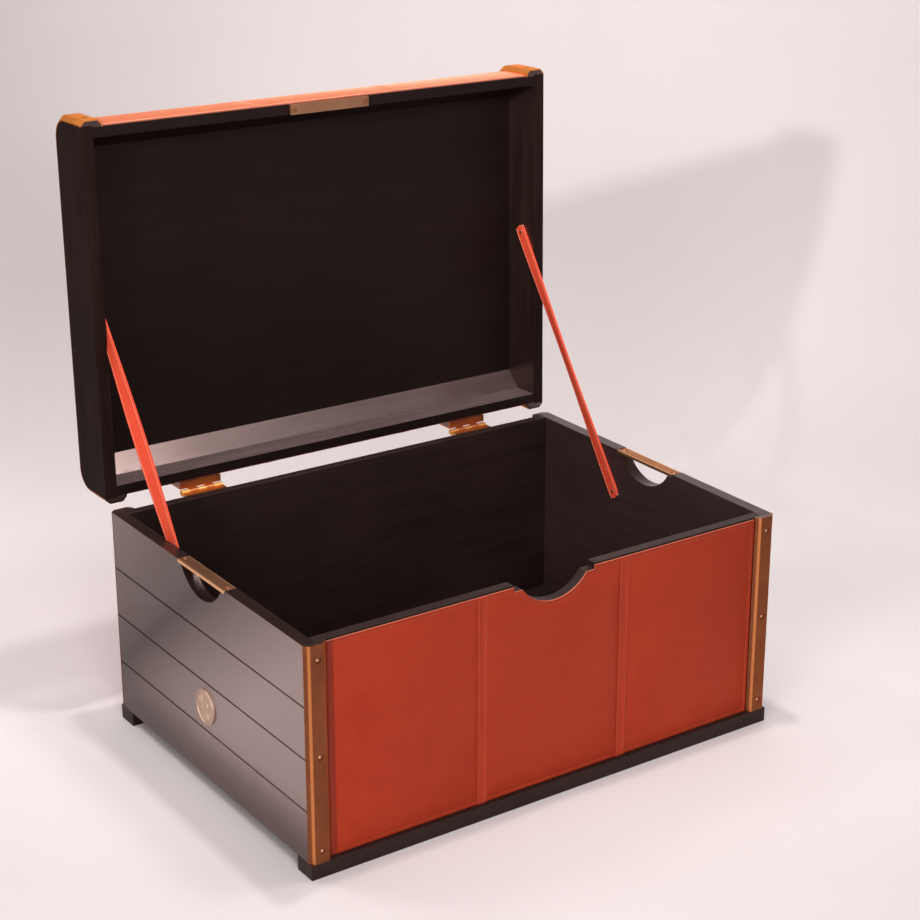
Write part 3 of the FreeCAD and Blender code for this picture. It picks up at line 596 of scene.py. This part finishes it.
# cutters for a round hole that opens through the rim, and for the seat of the bar above it
def rimCutters(x, y, along, depth, seat):
    level = rim - boardLook["holeDrop"] + boardLook["holeRadius"]
    hole = addRound("hole", (x, y, level), boardLook["holeRadius"], depth, along, boardLook["holeSides"])
    reach = boardLook["barReach"]
    halfX, halfY = (depth / 2, reach) if along == "X" else (reach, depth / 2)
    low = (x - halfX, y - halfY, rim - seat)
    high = (x + halfX, y + halfY, rim + boardLook["past"])
    return hole, addBlock("seat", low, high)


def frontNotch(low, high):
    depth = high.y - low.y + 2 * boardLook["past"]
    return rimCutters(0, (low.y + high.y) / 2, "Y", depth, boardLook["pullSeat"])


def endBoards():
    top = boardLook["topNumber"]
    for name, side in sides.items():
        for number in range(1, top + 1):
            node = f"{name}_end_board_{number}"
            low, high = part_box(node)
            board = addBlock(node + "_piece", low, high)
            outer = side * trunk["end"]
            met = [z for z, wanted in ((low.z, number > 1), (high.z, number < top)) if wanted]
            bevelEdges(
                board,
                lambda a, b: abs(a.x - outer) + abs(b.x - outer) < 2 * hair and abs(a.z - b.z) < hair
                and any(abs(a.z - z) < 2 * hair for z in met),
                boardLook["chamfer"])
            if number == top:
                middle = side * trunk["boardMiddle"]
                carve(board, *rimCutters(middle, middleY, "X", boardLook["holeCut"], boardLook["barSeat"]))
            roundEdges(board, boardLook["edge"], angle=boardLook["cutAngle"])
            finishPiece(board, "box", "dark_wood", woodY, node)
            paintFaces(board, insideY, lambda centre, normal: normal.x * side < -square)


def walls():
    low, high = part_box("front_board")
    board = carve(addBlock("front_board_piece", low, high), *frontNotch(low, high))
    roundEdges(board, boardLook["edge"], angle=boardLook["cutAngle"])
    finishPiece(board, "box", "dark_wood", insideX, "front_board")
    plainBoard("back_board", insideX)
    plainBoard("bottom_panel", insideX)
    for face in ("front", "back"):
        plainBoard(f"{face}_runner", runnerX, boardLook["runnerEdge"])
        for side in sides:
            dress(f"{face}_{side}_stile", woodZ)


endBoards()
walls()
print("boards made")

lidBoardLook = {"edge": 0.0008, "stileEdge": 0.0004, "paintedSheenFrom": 0.95}


def lidBoards():
    for node, finish in (
            ("lid_left_end", lidWoodZ), ("lid_right_end", lidWoodZ), ("lid_front_rail", railWood),
            ("lid_back_rail", railWood), ("lid_top_panel", lidInsideX),
            ("lid_front_corner_batten", lidInsideX), ("lid_back_corner_batten", battenWood),
            ("lid_left_stile", woodZ), ("lid_right_stile", woodZ)):
        board = softenedCopy(node, lidBoardLook["stileEdge" if "stile" in node else "edge"])
        finishPiece(board, "lid", "dark_wood", finish, node)
        # painted sheen on the back rail's face that looks up with the lid open
        if node == "lid_back_rail":
            paintFaces(board, paintedSheenWood, lambda centre, normal: normal.z > lidBoardLook["paintedSheenFrom"])
        if node == "lid_right_end":
            paintFaces(board, woodZ, lambda centre, normal: normal.x < -square)


lidBoards()
for pad in ("hinge_box_pads", "hinge_lid_pads"):
    dress(pad, woodX)
print("lid boards made")


def brassPieces():
    for face, finish in (("front", stripBrass), ("back", shadedBackBrass)):
        for side in sides:
            node = f"{face}_{side}_corner_strip"
            finishPiece(softenedCopy(node, brassLook["stripEdge"], 4), "box", "brass", finish, node)
    for side in sides:
        for node, body, edge, segments, finish in (
                (f"lid_{side}_strap", "lid", "strapEdge", 2, strapBrass),
                (f"{side}_handle_bar", "box", "barEdge", 1, barBrass),
                (f"{side}_hinge_box_leaf", "box", "leafEdge", 2, hingeBrass),
                (f"{side}_hinge_lid_leaf", "lid", "leafEdge", 2, shadedLeafBrass)):
            piece = softenedCopy(node, brassLook[edge], segments)
            finishPiece(piece, body, "brass", finish, node)
            # painted shade on the strap's faces that look to the front, below its turn over the lid front
            if finish is strapBrass:
                paintFaces(piece, paintedStrapShade, lambda centre, normal: normal.y < -brassLook["strapShadeFrom"]
                           and centre.z < brassLook["strapTurn"])
    pull = softenedCopy("lid_pull_bar", brassLook["pullEdge"])
    finishPiece(pull, "lid", "brass", pullBrass, "lid_pull_bar")
    dress("hinge_pins", hingeBrass)


brassPieces()

# screw sizes: head radius, head thickness, shank radius, length and, last, the rise of a domed head
screwLook = {
    "large": (0.005, 0.0012, 0.002, 0.02), "small": (0.0035, 0.001, 0.0015, 0.014),
    "long": (0.0035, 0.001, 0.0015, 0.026), "domed": (0.005, 0.0012, 0.002, 0.02, 0.001),
    "domeRises": (0.5, 0.35, 0.15), "domeInset": 0.26, "edge": 0.0004, "slotWidth": 0.0012,
    "slotDepth": 0.0007, "slotReach": 1.2, "headSides": 28, "shankSides": 10, "smooth": 30, "turnStep": 67,
}
screwPlaces = {
    "stripIn": 0.018, "stripLow": 0.019, "stripMiddle": 0.002, "stripHigh": 0.023, "barReach": 0.066,
    "barSink": 0.0005, "strapUp": 0.023, "strapIn": 0.061, "pullIn": 0.0195, "pullUp": 0.005,
    "leafMiddle": 0.26, "leafReach": 0.0245, "leafOut": 0.0025, "boxLeaf": (0.3165, 0.3475),
    "lidLeaf": (0.373, 0.391), "stayX": 0.4007,
}


def makeScrew(head, headThick, shank, length, dome=0.0):
    look = screwLook
    screw = addRound("screw", (0, 0, -headThick / 2), head, headThick, "Z", look["headSides"])
    bevelEdges(screw, lambda a, b: min(a.z, b.z) > -hair, look["edge"], 2)
    if dome:
        for share in look["domeRises"]:
            insetFaces(screw, lambda centre, normal: normal.z > square and centre.z > -hair,
                       (head * look["domeInset"], dome * share))
    reach, half = head * look["slotReach"], look["slotWidth"] / 2
    carve(screw, addBlock("slot", (-reach, -half, -look["slotDepth"]), (reach, half, gap)))
    stem = addRound("stem", (0, 0, -(headThick + length) / 2), shank, length - headThick, "Z",
                    look["shankSides"])
    screw = joined("screw", [screw, stem])
    pick(screw)
    bpy.ops.object.shade_smooth_by_angle(angle=math.radians(look["smooth"]))
    return screw


def placeScrews(name, screw, spots, body, finish=screwBrass):
    copies = []
    for index, (place, facing) in enumerate(spots):
        one = linked(f"{name}_{index}", screw.data.copy())
        spin = Matrix.Rotation(math.radians(screwLook["turnStep"] * index % 180), 4, "Z")
        aim = Vector(facing).to_track_quat("Z", "Y").to_matrix().to_4x4()
        one.matrix_world = Matrix.Translation(place) @ aim @ spin
        settle(one)
        copies.append(one)
    group = joined(name + "_piece", copies)
    if body == "lid":
        swingOpen(group)
    return finishPiece(group, body, "brass", finish, name)


# places on the lid are given with the lid shut
def screws():
    sizes = ("large", "small", "long", "domed")
    large, small, long, domed = (makeScrew(*screwLook[size]) for size in sizes)
    at = screwPlaces
    stripX = trunk["end"] - at["stripIn"]
    levels = (trunk["footTop"] + at["stripLow"], (trunk["footTop"] + rim) / 2 - at["stripMiddle"],
              rim - at["stripHigh"])
    spots = [((side * stripX, y, level), (0, way, 0)) for y, way in ((front, -1), (back, 1))
             for side in sides.values() for level in levels]
    placeScrews("corner_strip_screws", domed, spots, "box", stripScrew)
    spots = [((side * trunk["boardMiddle"], middleY + reach, rim - at["barSink"]), (0, 0, 1))
             for side in sides.values() for reach in (-at["barReach"], at["barReach"])]
    placeScrews("handle_bar_screws", domed, spots, "box", polishedScrew)
    spots = []
    for side in sides.values():
        x = side * stripX
        spots += [((x, y, lidRim + at["strapUp"]), (0, way, 0)) for y, way in ((front, -1), (back, 1))]
        spots += [((x, y, lidTop), (0, 0, 1))
                  for y in (front + at["strapIn"], middleY, back - at["strapIn"])]
    placeScrews("lid_strap_screws", large, spots, "lid")
    spots = [((side * at["barReach"], front + at["pullIn"], lidRim - at["pullUp"]), (0, 0, -1))
             for side in sides.values()]
    placeScrews("lid_pull_screws", large, spots, "lid")
    for body in ("box", "lid"):
        spots = [((side * at["leafMiddle"] + reach, back + at["leafOut"], z), (0, 1, 0))
                 for side in sides.values() for reach in (-at["leafReach"], at["leafReach"])
                 for z in at[body + "Leaf"]]
        placeScrews(f"hinge_{body}_screws", long, spots, body)
    for body, place in (("box", trunk["stayFoot"]), ("lid", trunk["stayHead"])):
        spots = [((side * at["stayX"], *place), (-side, 0, 0)) for side in sides.values()]
        placeScrews(f"stay_{body}_screws", small, spots, body, stripScrew)
    remove(large, small, long, domed)


screws()
print("brass and screws made")

medalLook = {
    "radius": 0.028, "field": 0.0019, "level": 0.1455,
    "steps": ((0.0006, 0), (0.0004, 0.0011), (0.0012, 0), (0.0004, -0.0011), (0.003, 0), (0.0004, 0.0003),
              (0.0006, 0), (0.0004, -0.0003), (0.0012, 0), (0.0095, 0), (0.0005, 0.0007), (0.003, 0.0004)),
    "rays": 16, "raySpan": (0.0085, 0.0165), "rayTurn": (0.26, 0.74), "rayStep": (0.0005, 0.0006),
    "smooth": 28,
}
medalBrass = agedBrass("medallion_brass", "Y", dict(
    stripLook, bright=(0.63, 0.47, 0.37), dull=(0.48, 0.34, 0.27), edgeTint=(1.0, 0.8, 0.7), cloud=90.0,
    rough=0.46))


def medallion():
    look = medalLook
    x, z, field = -trunk["end"], look["level"], look["field"]
    medal = addRound("left_medallion_piece", (x - field / 2, middleY, z), look["radius"], field, "X",
                     look["rays"] * 6)
    insetFaces(medal, lambda centre, normal: normal.x < -square and centre.x < x - field / 2,
               *look["steps"])
    step = 2 * math.pi / look["rays"]
    near, far = look["raySpan"]
    start, end = look["rayTurn"]

    def inRay(centre, normal):
        away = math.hypot(centre.y - middleY, centre.z - z)
        turn = (math.atan2(centre.z - z, centre.y - middleY) % step) / step
        return normal.x < -square and near < away < far and start < turn < end

    insetFaces(medal, inRay, look["rayStep"])
    pick(medal)
    bpy.ops.object.shade_smooth_by_angle(angle=math.radians(look["smooth"]))
    finishPiece(medal, "box", "brass", medalBrass, "left_medallion")


medallion()
print("medallion made")


# leather

leatherLook = {
    "margin": 0.005, "groove": 0.0007, "sink": 0.0004, "edge": 0.0008, "edgeAngle": 70, "merge": 0.0006,
    "notchCut": 0.3, "panelCuts": (-0.1, -0.03, 0.03, 0.1), "cutUp": 0.55, "cutAcross": 0.5,
    "bendSteps": 14, "frontFrom": 0.3, "rimFrom": 0.7, "frontLevel": 0.92,
}


def mergeClose(thing, distance):
    startEdit(thing, "VERT")
    bpy.ops.mesh.select_all(action="SELECT")
    bpy.ops.mesh.remove_doubles(threshold=distance)
    leaveEdit()


def cutAcross(thing, place, normal):
    startEdit(thing, "FACE")
    bpy.ops.mesh.select_all(action="SELECT")
    bpy.ops.mesh.bisect(plane_co=place, plane_no=normal)
    leaveEdit()


def grooveRound(thing, test, margin):
    groove, sink = leatherLook["groove"], leatherLook["sink"]
    insetFaces(thing, test, (margin, 0), (groove, -sink), (groove, sink))


def leatherPanel(node, outward):
    low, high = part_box(node)
    panel = addBlock(node + "_piece", low, high)
    if "centre" in node:
        carve(panel, *frontNotch(low, high))
        mergeClose(panel, leatherLook["merge"])
        cutAcross(panel, (0, 0, leatherLook["notchCut"]), (0, 0, 1))
        for x in leatherLook["panelCuts"]:
            cutAcross(panel, (x, 0, 0), (1, 0, 0))
    grooveRound(panel, lambda centre, normal: normal.y * outward > square, leatherLook["margin"])
    roundEdges(panel, leatherLook["edge"], angle=leatherLook["edgeAngle"])
    finishPiece(panel, "box", "cover_leather", coverHide, node)
    # upward edges and the notch's sides get the cut edge colour, partly a painted highlight
    paintFaces(panel, cutEdgeAndHighlight, lambda centre, normal: normal.z > leatherLook["cutUp"] or (
        abs(normal.y) < leatherLook["cutAcross"] and leatherLook["notchCut"] < centre.z
        and abs(centre.x) < boardLook["barReach"]))


for part in ("left", "centre", "right"):
    leatherPanel(f"front_leather_{part}", -1)
leatherPanel("back_leather", 1)

seamLook = {"half": 0.0085, "welt": 0.0026, "slope": 0.0009, "sink": 0.0008, "weltMiddle": 0.007,
            "weltHalf": 0.0017, "edge": 0.0005, "lidInset": 0.0088, "lidThick": 0.001, "lidMargin": 0.0018}


def frontSeams():
    low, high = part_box("front_seam_strips")
    half = seamLook["half"]
    middles = [side * trunk["seamMiddle"] for side in sides.values()]
    strips = []
    for x in middles:
        strip = addBlock("strip", (x - half, low.y, low.z), (x + half, high.y, high.z))
        insetFaces(strip, lambda centre, normal: normal.y < -square,
                   (seamLook["welt"], 0), (seamLook["slope"], -seamLook["sink"]))
        strips.append(roundEdges(strip, seamLook["edge"], angle=leatherLook["edgeAngle"]))
    group = joined("front_seam_strips_piece", strips)
    finishPiece(group, "box", "seam_leather", seamHide, "front_seam_strips")
    paintFaces(group, weltHide, lambda centre, normal: min(
        abs(abs(centre.x - x) - seamLook["weltMiddle"]) for x in middles) < seamLook["weltHalf"])


frontSeams()


# leather bent over the shut lid from front to back, then swung open with it
def overLid(name, left, right, inset, thick, margin):
    low = (left, front + inset, lidRim + trunk["leatherMargin"])
    high = (right, back - inset, lidTop - inset)
    cover = addBlock(name, low, high)
    bevelEdges(cover, lambda a, b: min(a.z, b.z) > high[2] - hair and abs(a.x - b.x) > gap,
               trunk["cornerRadius"] - inset, leatherLook["bendSteps"])
    chooseFaces(cover, lambda centre, normal: normal.z < -square or abs(normal.x) > square)
    bpy.ops.mesh.delete(type="FACE")
    leaveEdit()
    grooveRound(cover, lambda centre, normal: True, margin)
    applied(cover, "SOLIDIFY", thickness=thick, offset=-1, use_even_offset=True)
    return swingOpen(roundEdges(cover, leatherLook["edge"], angle=leatherLook["edgeAngle"]))


def lidLeather():
    cover = overLid("lid_leather_piece", -leatherEnd, leatherEnd, trunk["coverInset"],
                    trunk["leatherThick"], leatherLook["margin"])
    finishPiece(cover, "lid", "cover_leather", coverHide, "lid_leather")
    # painted light on the faces that look up with the lid open
    paintFaces(cover, paintedLitHide, lambda centre, normal: normal.z > leatherLook["frontFrom"])
    # the edge toward the rim gets the cut edge colour, brightened as a painted highlight
    paintFaces(cover, cutEdgeAndHighlight, lambda centre, normal: normal.y < -leatherLook["rimFrom"])
    strips = []
    for side in sides.values():
        x, half = side * trunk["seamMiddle"], seamLook["half"]
        strips.append(overLid("strip", x - half, x + half, seamLook["lidInset"], seamLook["lidThick"],
                              seamLook["lidMargin"]))
    seams = joined("lid_seam_strips_piece", strips)
    finishPiece(seams, "lid", "seam_leather", seamHide, "lid_seam_strips")
    # painted light on the seams' part that looks up with the lid open
    paintFaces(seams, paintedLitHide, lambda centre, normal: centre.z > leatherLook["frontLevel"])


lidLeather()
print("leather made")


# stitches: one small stitch, repeated along a line

stitchLook = {"length": 0.0034, "pitch": 0.0046, "thick": 0.00042, "stayThick": 0.0006, "sinkShare": 0.6,
              "seamReach": 0.006, "seamDeep": 0.0015, "seamStart": 0.003, "seamOver": 0.004,
              "notchSteps": 24, "bendSteps": 12}


def bendAlong(thing, points, tilts):
    path = bpy.data.curves.new("line", "CURVE")
    path.dimensions = "3D"
    path.twist_mode = "Z_UP"
    spline = path.splines.new("POLY")
    spline.points.add(len(points) - 1)
    for index, point in enumerate(points):
        spline.points[index].co = (*point, 1)
        spline.points[index].tilt = tilts[index] if tilts else 0
    line = linked("line", path)
    applied(thing, "CURVE", object=line, deform_axis="POS_X")
    remove(line)
    return thing


def stitchAlong(points, tilts=None, offset=0.0, lift=0.0, thick=stitchLook["thick"]):
    clearSelection()
    total = sum((Vector(b) - Vector(a)).length for a, b in zip(points, points[1:]))
    pitch = stitchLook["pitch"]
    count = max(1, int(total / pitch))
    start = (total - (count - 1) * pitch) / 2
    bpy.ops.mesh.primitive_uv_sphere_add(
        segments=6, ring_count=4, radius=1, location=(start, offset, lift),
        scale=(stitchLook["length"] / 2, thick, stitchLook["thick"]))
    stitch = named("stitch")
    applied(stitch, "ARRAY", count=count, use_relative_offset=False, use_constant_offset=True,
            constant_offset_displace=(pitch, 0, 0))
    return bendAlong(stitch, points, tilts)


def finishStitches(name, rows, body, slot, finish):
    group = joined(name, rows)
    pick(group)
    bpy.ops.object.shade_smooth()
    return finishPiece(group, body, slot, finish)


# the upper row of the middle panel follows the finger notch
def upperRow(left, right, y, high, margin, notched):
    row = [(left + margin, y, high)]
    if notched:
        reach = boardLook["barReach"] + margin
        step = rim - boardLook["pullSeat"] - margin
        middle = rim - boardLook["holeDrop"] + boardLook["holeRadius"]
        radius = boardLook["holeRadius"] + margin
        half = math.acos((middle - step) / radius)
        count = stitchLook["notchSteps"]
        row += [(-reach, y, high), (-reach, y, step)]
        for index in range(count + 1):
            turn = -half + 2 * half * index / count
            row.append((radius * math.sin(turn), y, middle - radius * math.cos(turn)))
        row += [(reach, y, step), (reach, y, high)]
    return row + [(right - margin, y, high)]


def boxStitches(name, y, spans, seams):
    margin = leatherLook["margin"] + leatherLook["groove"]
    foot, head = trunk["footTop"], rim - trunk["leatherMargin"]
    low, high = foot + margin, head - margin
    rows = []
    for left, right, notched in spans:
        rows.append([(left + margin, y, low), (right - margin, y, low)])
        rows.append(upperRow(left, right, y, high, margin, notched))
    for side in sides.values():
        x = side * (leatherEnd - margin)
        rows.append([(x, y, low), (x, y, high)])
        for offset in seams:
            x = side * trunk["seamMiddle"] + offset
            deep, start = y - stitchLook["seamDeep"], stitchLook["seamStart"]
            rows.append([(x, deep, foot + start), (x, deep, head - start)])
    finishStitches(name, [stitchAlong(row) for row in rows], "box", "cover_leather", coverThread)


seamRows = (-stitchLook["seamReach"], stitchLook["seamReach"])
split = trunk["seamMiddle"] + stitchLook["seamOver"]
threadInset = trunk["coverInset"] + leatherLook["sink"] * stitchLook["sinkShare"]
boxStitches("front_stitches", front + threadInset, (
    (-leatherEnd, -split, False), (-split, split, True), (split, leatherEnd, False)), seamRows)
boxStitches("back_stitches", back - threadInset, ((-leatherEnd, leatherEnd, False),), ())


# the lid's outline from front to back
def lidProfile(x, inset, start):
    radius = trunk["cornerRadius"] - inset
    near, far = front + inset, back - inset
    level = lidTop - trunk["cornerRadius"]
    count = stitchLook["bendSteps"]
    turns = [math.radians(90 * index / count) for index in range(count + 1)]
    points = [(x, near, start)]
    points += [(x, near + radius - radius * math.cos(turn), level + radius * math.sin(turn))
               for turn in turns]
    points += [(x, far - radius + radius * math.sin(turn), level + radius * math.cos(turn))
               for turn in turns]
    return points + [(x, far, start)]


def lidStitches():
    margin = leatherLook["margin"] + leatherLook["groove"]
    sink = leatherLook["sink"] * stitchLook["sinkShare"]
    start = lidRim + trunk["leatherMargin"] + margin
    rows = []
    for side in sides.values():
        rows.append(lidProfile(side * (leatherEnd - margin), threadInset, start))
        for offset in seamRows:
            rows.append(lidProfile(side * trunk["seamMiddle"] + offset, seamLook["lidInset"] + sink,
                                   start - stitchLook["seamStart"]))
    for y in (front + threadInset, back - threadInset):
        rows.append([(-leatherEnd + margin, y, start), (leatherEnd - margin, y, start)])
    stitches = [swingOpen(stitchAlong(row)) for row in rows]
    finishStitches("lid_stitches", stitches, "lid", "cover_leather", coverThread)


lidStitches()
print("stitches made")


# stays: flat straps with a slight twist between the lid and the box

stayLook = {"width": 0.024, "thick": 0.003, "gap": 0.0003, "twist": {"left": 28, "right": -15}, "steps": 48,
            "stitchInset": 0.0026, "roundShare": 0.98, "roundSteps": 8, "edge": 0.0007, "edgeAngle": 50}


def makeStay(name, side, look):
    half, thick, count = look["width"] / 2, look["thick"], look["steps"]
    x = side * (trunk["endInner"] - look["gap"] - thick / 2)
    foot = Vector((x, *trunk["stayFoot"]))
    head = pin + openTurn @ (Vector((x, *trunk["stayHead"])) - pin)
    way = (head - foot).normalized()
    start = foot - way * half
    finish = head + way * half
    points = [start.lerp(finish, index / count) for index in range(count + 1)]
    twist = math.radians(look["twist"][name])
    tilts = [math.radians(90) + twist * math.sin(math.pi * index / count) ** 2
             for index in range(count + 1)]
    total = (finish - start).length
    strap = addBlock(f"{name}_leather_stay_piece", (0, -half, -thick / 2), (total, half, thick / 2))
    bevelEdges(strap, lambda a, b: abs(a.z - b.z) > gap, half * look["roundShare"],
               look["roundSteps"])
    for index in range(1, count):
        cutAcross(strap, (total * index / count, 0, 0), (1, 0, 0))
    roundEdges(strap, look["edge"], 3, look["edgeAngle"])
    bendAlong(strap, points, tilts)
    away = half - look["stitchInset"]
    rows = [stitchAlong(points, tilts, offset, lift, stitchLook["stayThick"])
            for offset in (-away, away) for lift in (-thick / 2, thick / 2)]
    finishPiece(strap, None, "stay_leather", stayHide, f"{name}_leather_stay")
    stitches = finishStitches(f"{name}_stay_stitches", rows, None, "stay_leather", stayThread)
    for piece in (strap, stitches):
        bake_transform(piece)


for name, side in sides.items():
    makeStay(name, side, stayLook)
print("stays made")


# camera, floor and lamps

cameraLook = {"place": (-1.672, -2.21, 1.56), "azimuth": -35.86, "elevation": 19.82, "roll": 0.52,
              "sensor": 36, "lens": 80.69, "shift": (-0.0551, -0.0197), "farthest": 60}


def addCamera(look):
    camera = linked("camera", bpy.data.cameras.new("camera"))
    camera.data.sensor_width = look["sensor"]
    camera.data.lens = look["lens"]
    camera.data.shift_x, camera.data.shift_y = look["shift"]
    camera.data.clip_end = look["farthest"]
    turn = (Matrix.Rotation(math.radians(look["azimuth"]), 4, "Z")
            @ Matrix.Rotation(math.radians(90 - look["elevation"]), 4, "X")
            @ Matrix.Rotation(math.radians(look["roll"]), 4, "Z"))
    camera.matrix_world = Matrix.Translation(look["place"]) @ turn
    bpy.context.scene.camera = camera


addCamera(cameraLook)

# the paper is painted slightly darker towards the camera, as shade
floorLook = {
    "wallAway": 2.05, "bend": 0.8, "bendSteps": 24, "wide": 16.0, "high": 7.0, "deep": 12.0,
    "turn": cameraLook["azimuth"], "colours": ((0.78, 0.725, 0.73), (0.82, 0.765, 0.765)),
    "nearColours": ((0.68, 0.634, 0.639), (0.717, 0.669, 0.669)), "nearRange": (-0.25, 0.25),
    "cloud": 1.3, "toneRange": (0.3, 0.7), "rough": 0.75, "cloudRough": 0.1, "grain": 300.0,
    "relief": 0.05, "depth": 0.0005,
}


def paper(look):
    sheet = Finish("backdrop_paper")
    tone = sheet.ramp(sheet.noise(look["cloud"], detail=3, rough=0.5), *look["toneRange"])
    x, y = sheet.axes()[:2]
    turn = math.radians(look["turn"])
    away = sheet.ramp(y * math.cos(turn) - x * math.sin(turn), *look["nearRange"])
    near = sheet.blend(tone, *look["nearColours"])
    colour = sheet.blend(away, near, sheet.blend(tone, *look["colours"]))
    grain = sheet.noise(look["grain"], detail=2, rough=0.5)
    grain = sheet.bump(grain, look["relief"], look["depth"])
    return sheet.surface(colour, look["rough"] + tone * look["cloudRough"], grain)


def addFloor(look):
    clearSelection()
    bpy.ops.mesh.primitive_plane_add(size=1)
    floor = bpy.context.object
    floor.name = "floor"
    wallAway, deep = look["wallAway"], look["deep"]
    floor.scale = (look["wide"], deep, 1)
    floor.location = (0, wallAway - deep / 2, 0)
    settle(floor)
    chooseEdges(floor, lambda a, b: min(a.y, b.y) > wallAway - gap)
    bpy.ops.mesh.extrude_region_move(TRANSFORM_OT_translate={"value": (0, 0, look["high"])})
    leaveEdit()
    bevelEdges(floor, lambda a, b: min(a.y, b.y) > wallAway - gap and max(a.z, b.z) < gap,
               look["bend"], look["bendSteps"])
    pick(floor)
    bpy.ops.object.shade_smooth()
    floor.rotation_euler.z = math.radians(look["turn"])
    floor.location = (0, middleY, 0)
    settle(floor)
    floor.data.materials.append(paper(look).material)


addFloor(floorLook)

# powers are in watts; a lamp with a cone, in degrees, is a spot and the others are round areas
lampLook = {
    "key": dict(place=(-2.36, -0.85, 1.74), aim=(1.9, 1.37, 1.8), size=0.12, power=262,
                colour=(1.0, 0.96, 0.95), cone=64),
    "overhead": dict(place=(0.06, 0.2, 2.8), aim=(0.06, 0.2, 0.0), size=0.16, power=19),
    "ceiling": dict(place=(0.0, -0.2, 3.6), aim=(0.0, -0.2, 0.0), size=3.6, power=44),
    "softbox": dict(place=(0.42, -0.25, 2.42), aim=(0.0, 0.3, 0.3), size=0.36, power=9),
    "left": dict(place=(-2.4, -1.6, 1.9), aim=(-0.1, 0.0, 0.3), size=1.2, power=25),
    "front": dict(place=(-1.45, -3.0, 2.1), aim=(0.0, 0.1, 0.2), size=1.0, power=45),
    "backLeft": dict(place=(-1.2, 1.5, 2.6), aim=(-0.4, 0.9, 0.0), size=0.8, power=80, cone=78),
    "side": dict(place=(-1.9, -0.95, 1.35), aim=(-0.15, -0.02, 0.15), size=0.08, power=22,
                 colour=(1.0, 0.96, 0.94), cone=46),
}


def addLamp(name, place, aim, size, power, colour=(1.0, 0.97, 0.96), cone=0):
    light = bpy.data.lights.new(name, "SPOT" if cone else "AREA")
    if cone:
        light.shadow_soft_size = size / 2
        light.spot_size = math.radians(cone)
        light.spot_blend = 1.0
    else:
        light.shape = "DISK"
        light.size = size
    light.energy = power
    light.color = colour
    lamp = linked(name, light)
    lamp.location = place
    lamp.rotation_euler = (Vector(aim) - Vector(place)).to_track_quat("-Z", "Y").to_euler()


for name, look in lampLook.items():
    addLamp(name, **look)


# the world lights the object softly, and shows brighter to the camera and in glossy metal
def addWorld():
    world = bpy.data.worlds.new("studio")
    bpy.context.scene.world = world
    world.use_nodes = True
    tree = world.node_tree
    soft, seen = tree.nodes["Background"], tree.nodes.new("ShaderNodeBackground")
    for node, strength in ((soft, "light"), (seen, "seen")):
        node.inputs["Color"].default_value = (*worldLook["colour"], 1)
        node.inputs["Strength"].default_value = worldLook[strength]
    path = tree.nodes.new("ShaderNodeLightPath")
    shown = path.outputs["Is Camera Ray"]
    for ray in ("Is Glossy Ray", "Is Transmission Ray"):
        either = tree.nodes.new("ShaderNodeMath")
        either.operation = "MAXIMUM"
        tree.links.new(shown, either.inputs[0])
        tree.links.new(path.outputs[ray], either.inputs[1])
        shown = either.outputs[0]
    mixed = tree.nodes.new("ShaderNodeMixShader")
    for index, socket in enumerate((shown, soft.outputs[0], seen.outputs[0])):
        tree.links.new(socket, mixed.inputs[index])
    tree.links.new(mixed.outputs[0], tree.nodes["World Output"].inputs[0])


worldLook = {"colour": (0.94, 0.9, 0.9), "light": 0.11, "seen": 0.8}
addWorld()
bpy.context.scene.view_settings.view_transform = "Standard"
print("camera, floor and lamps set")
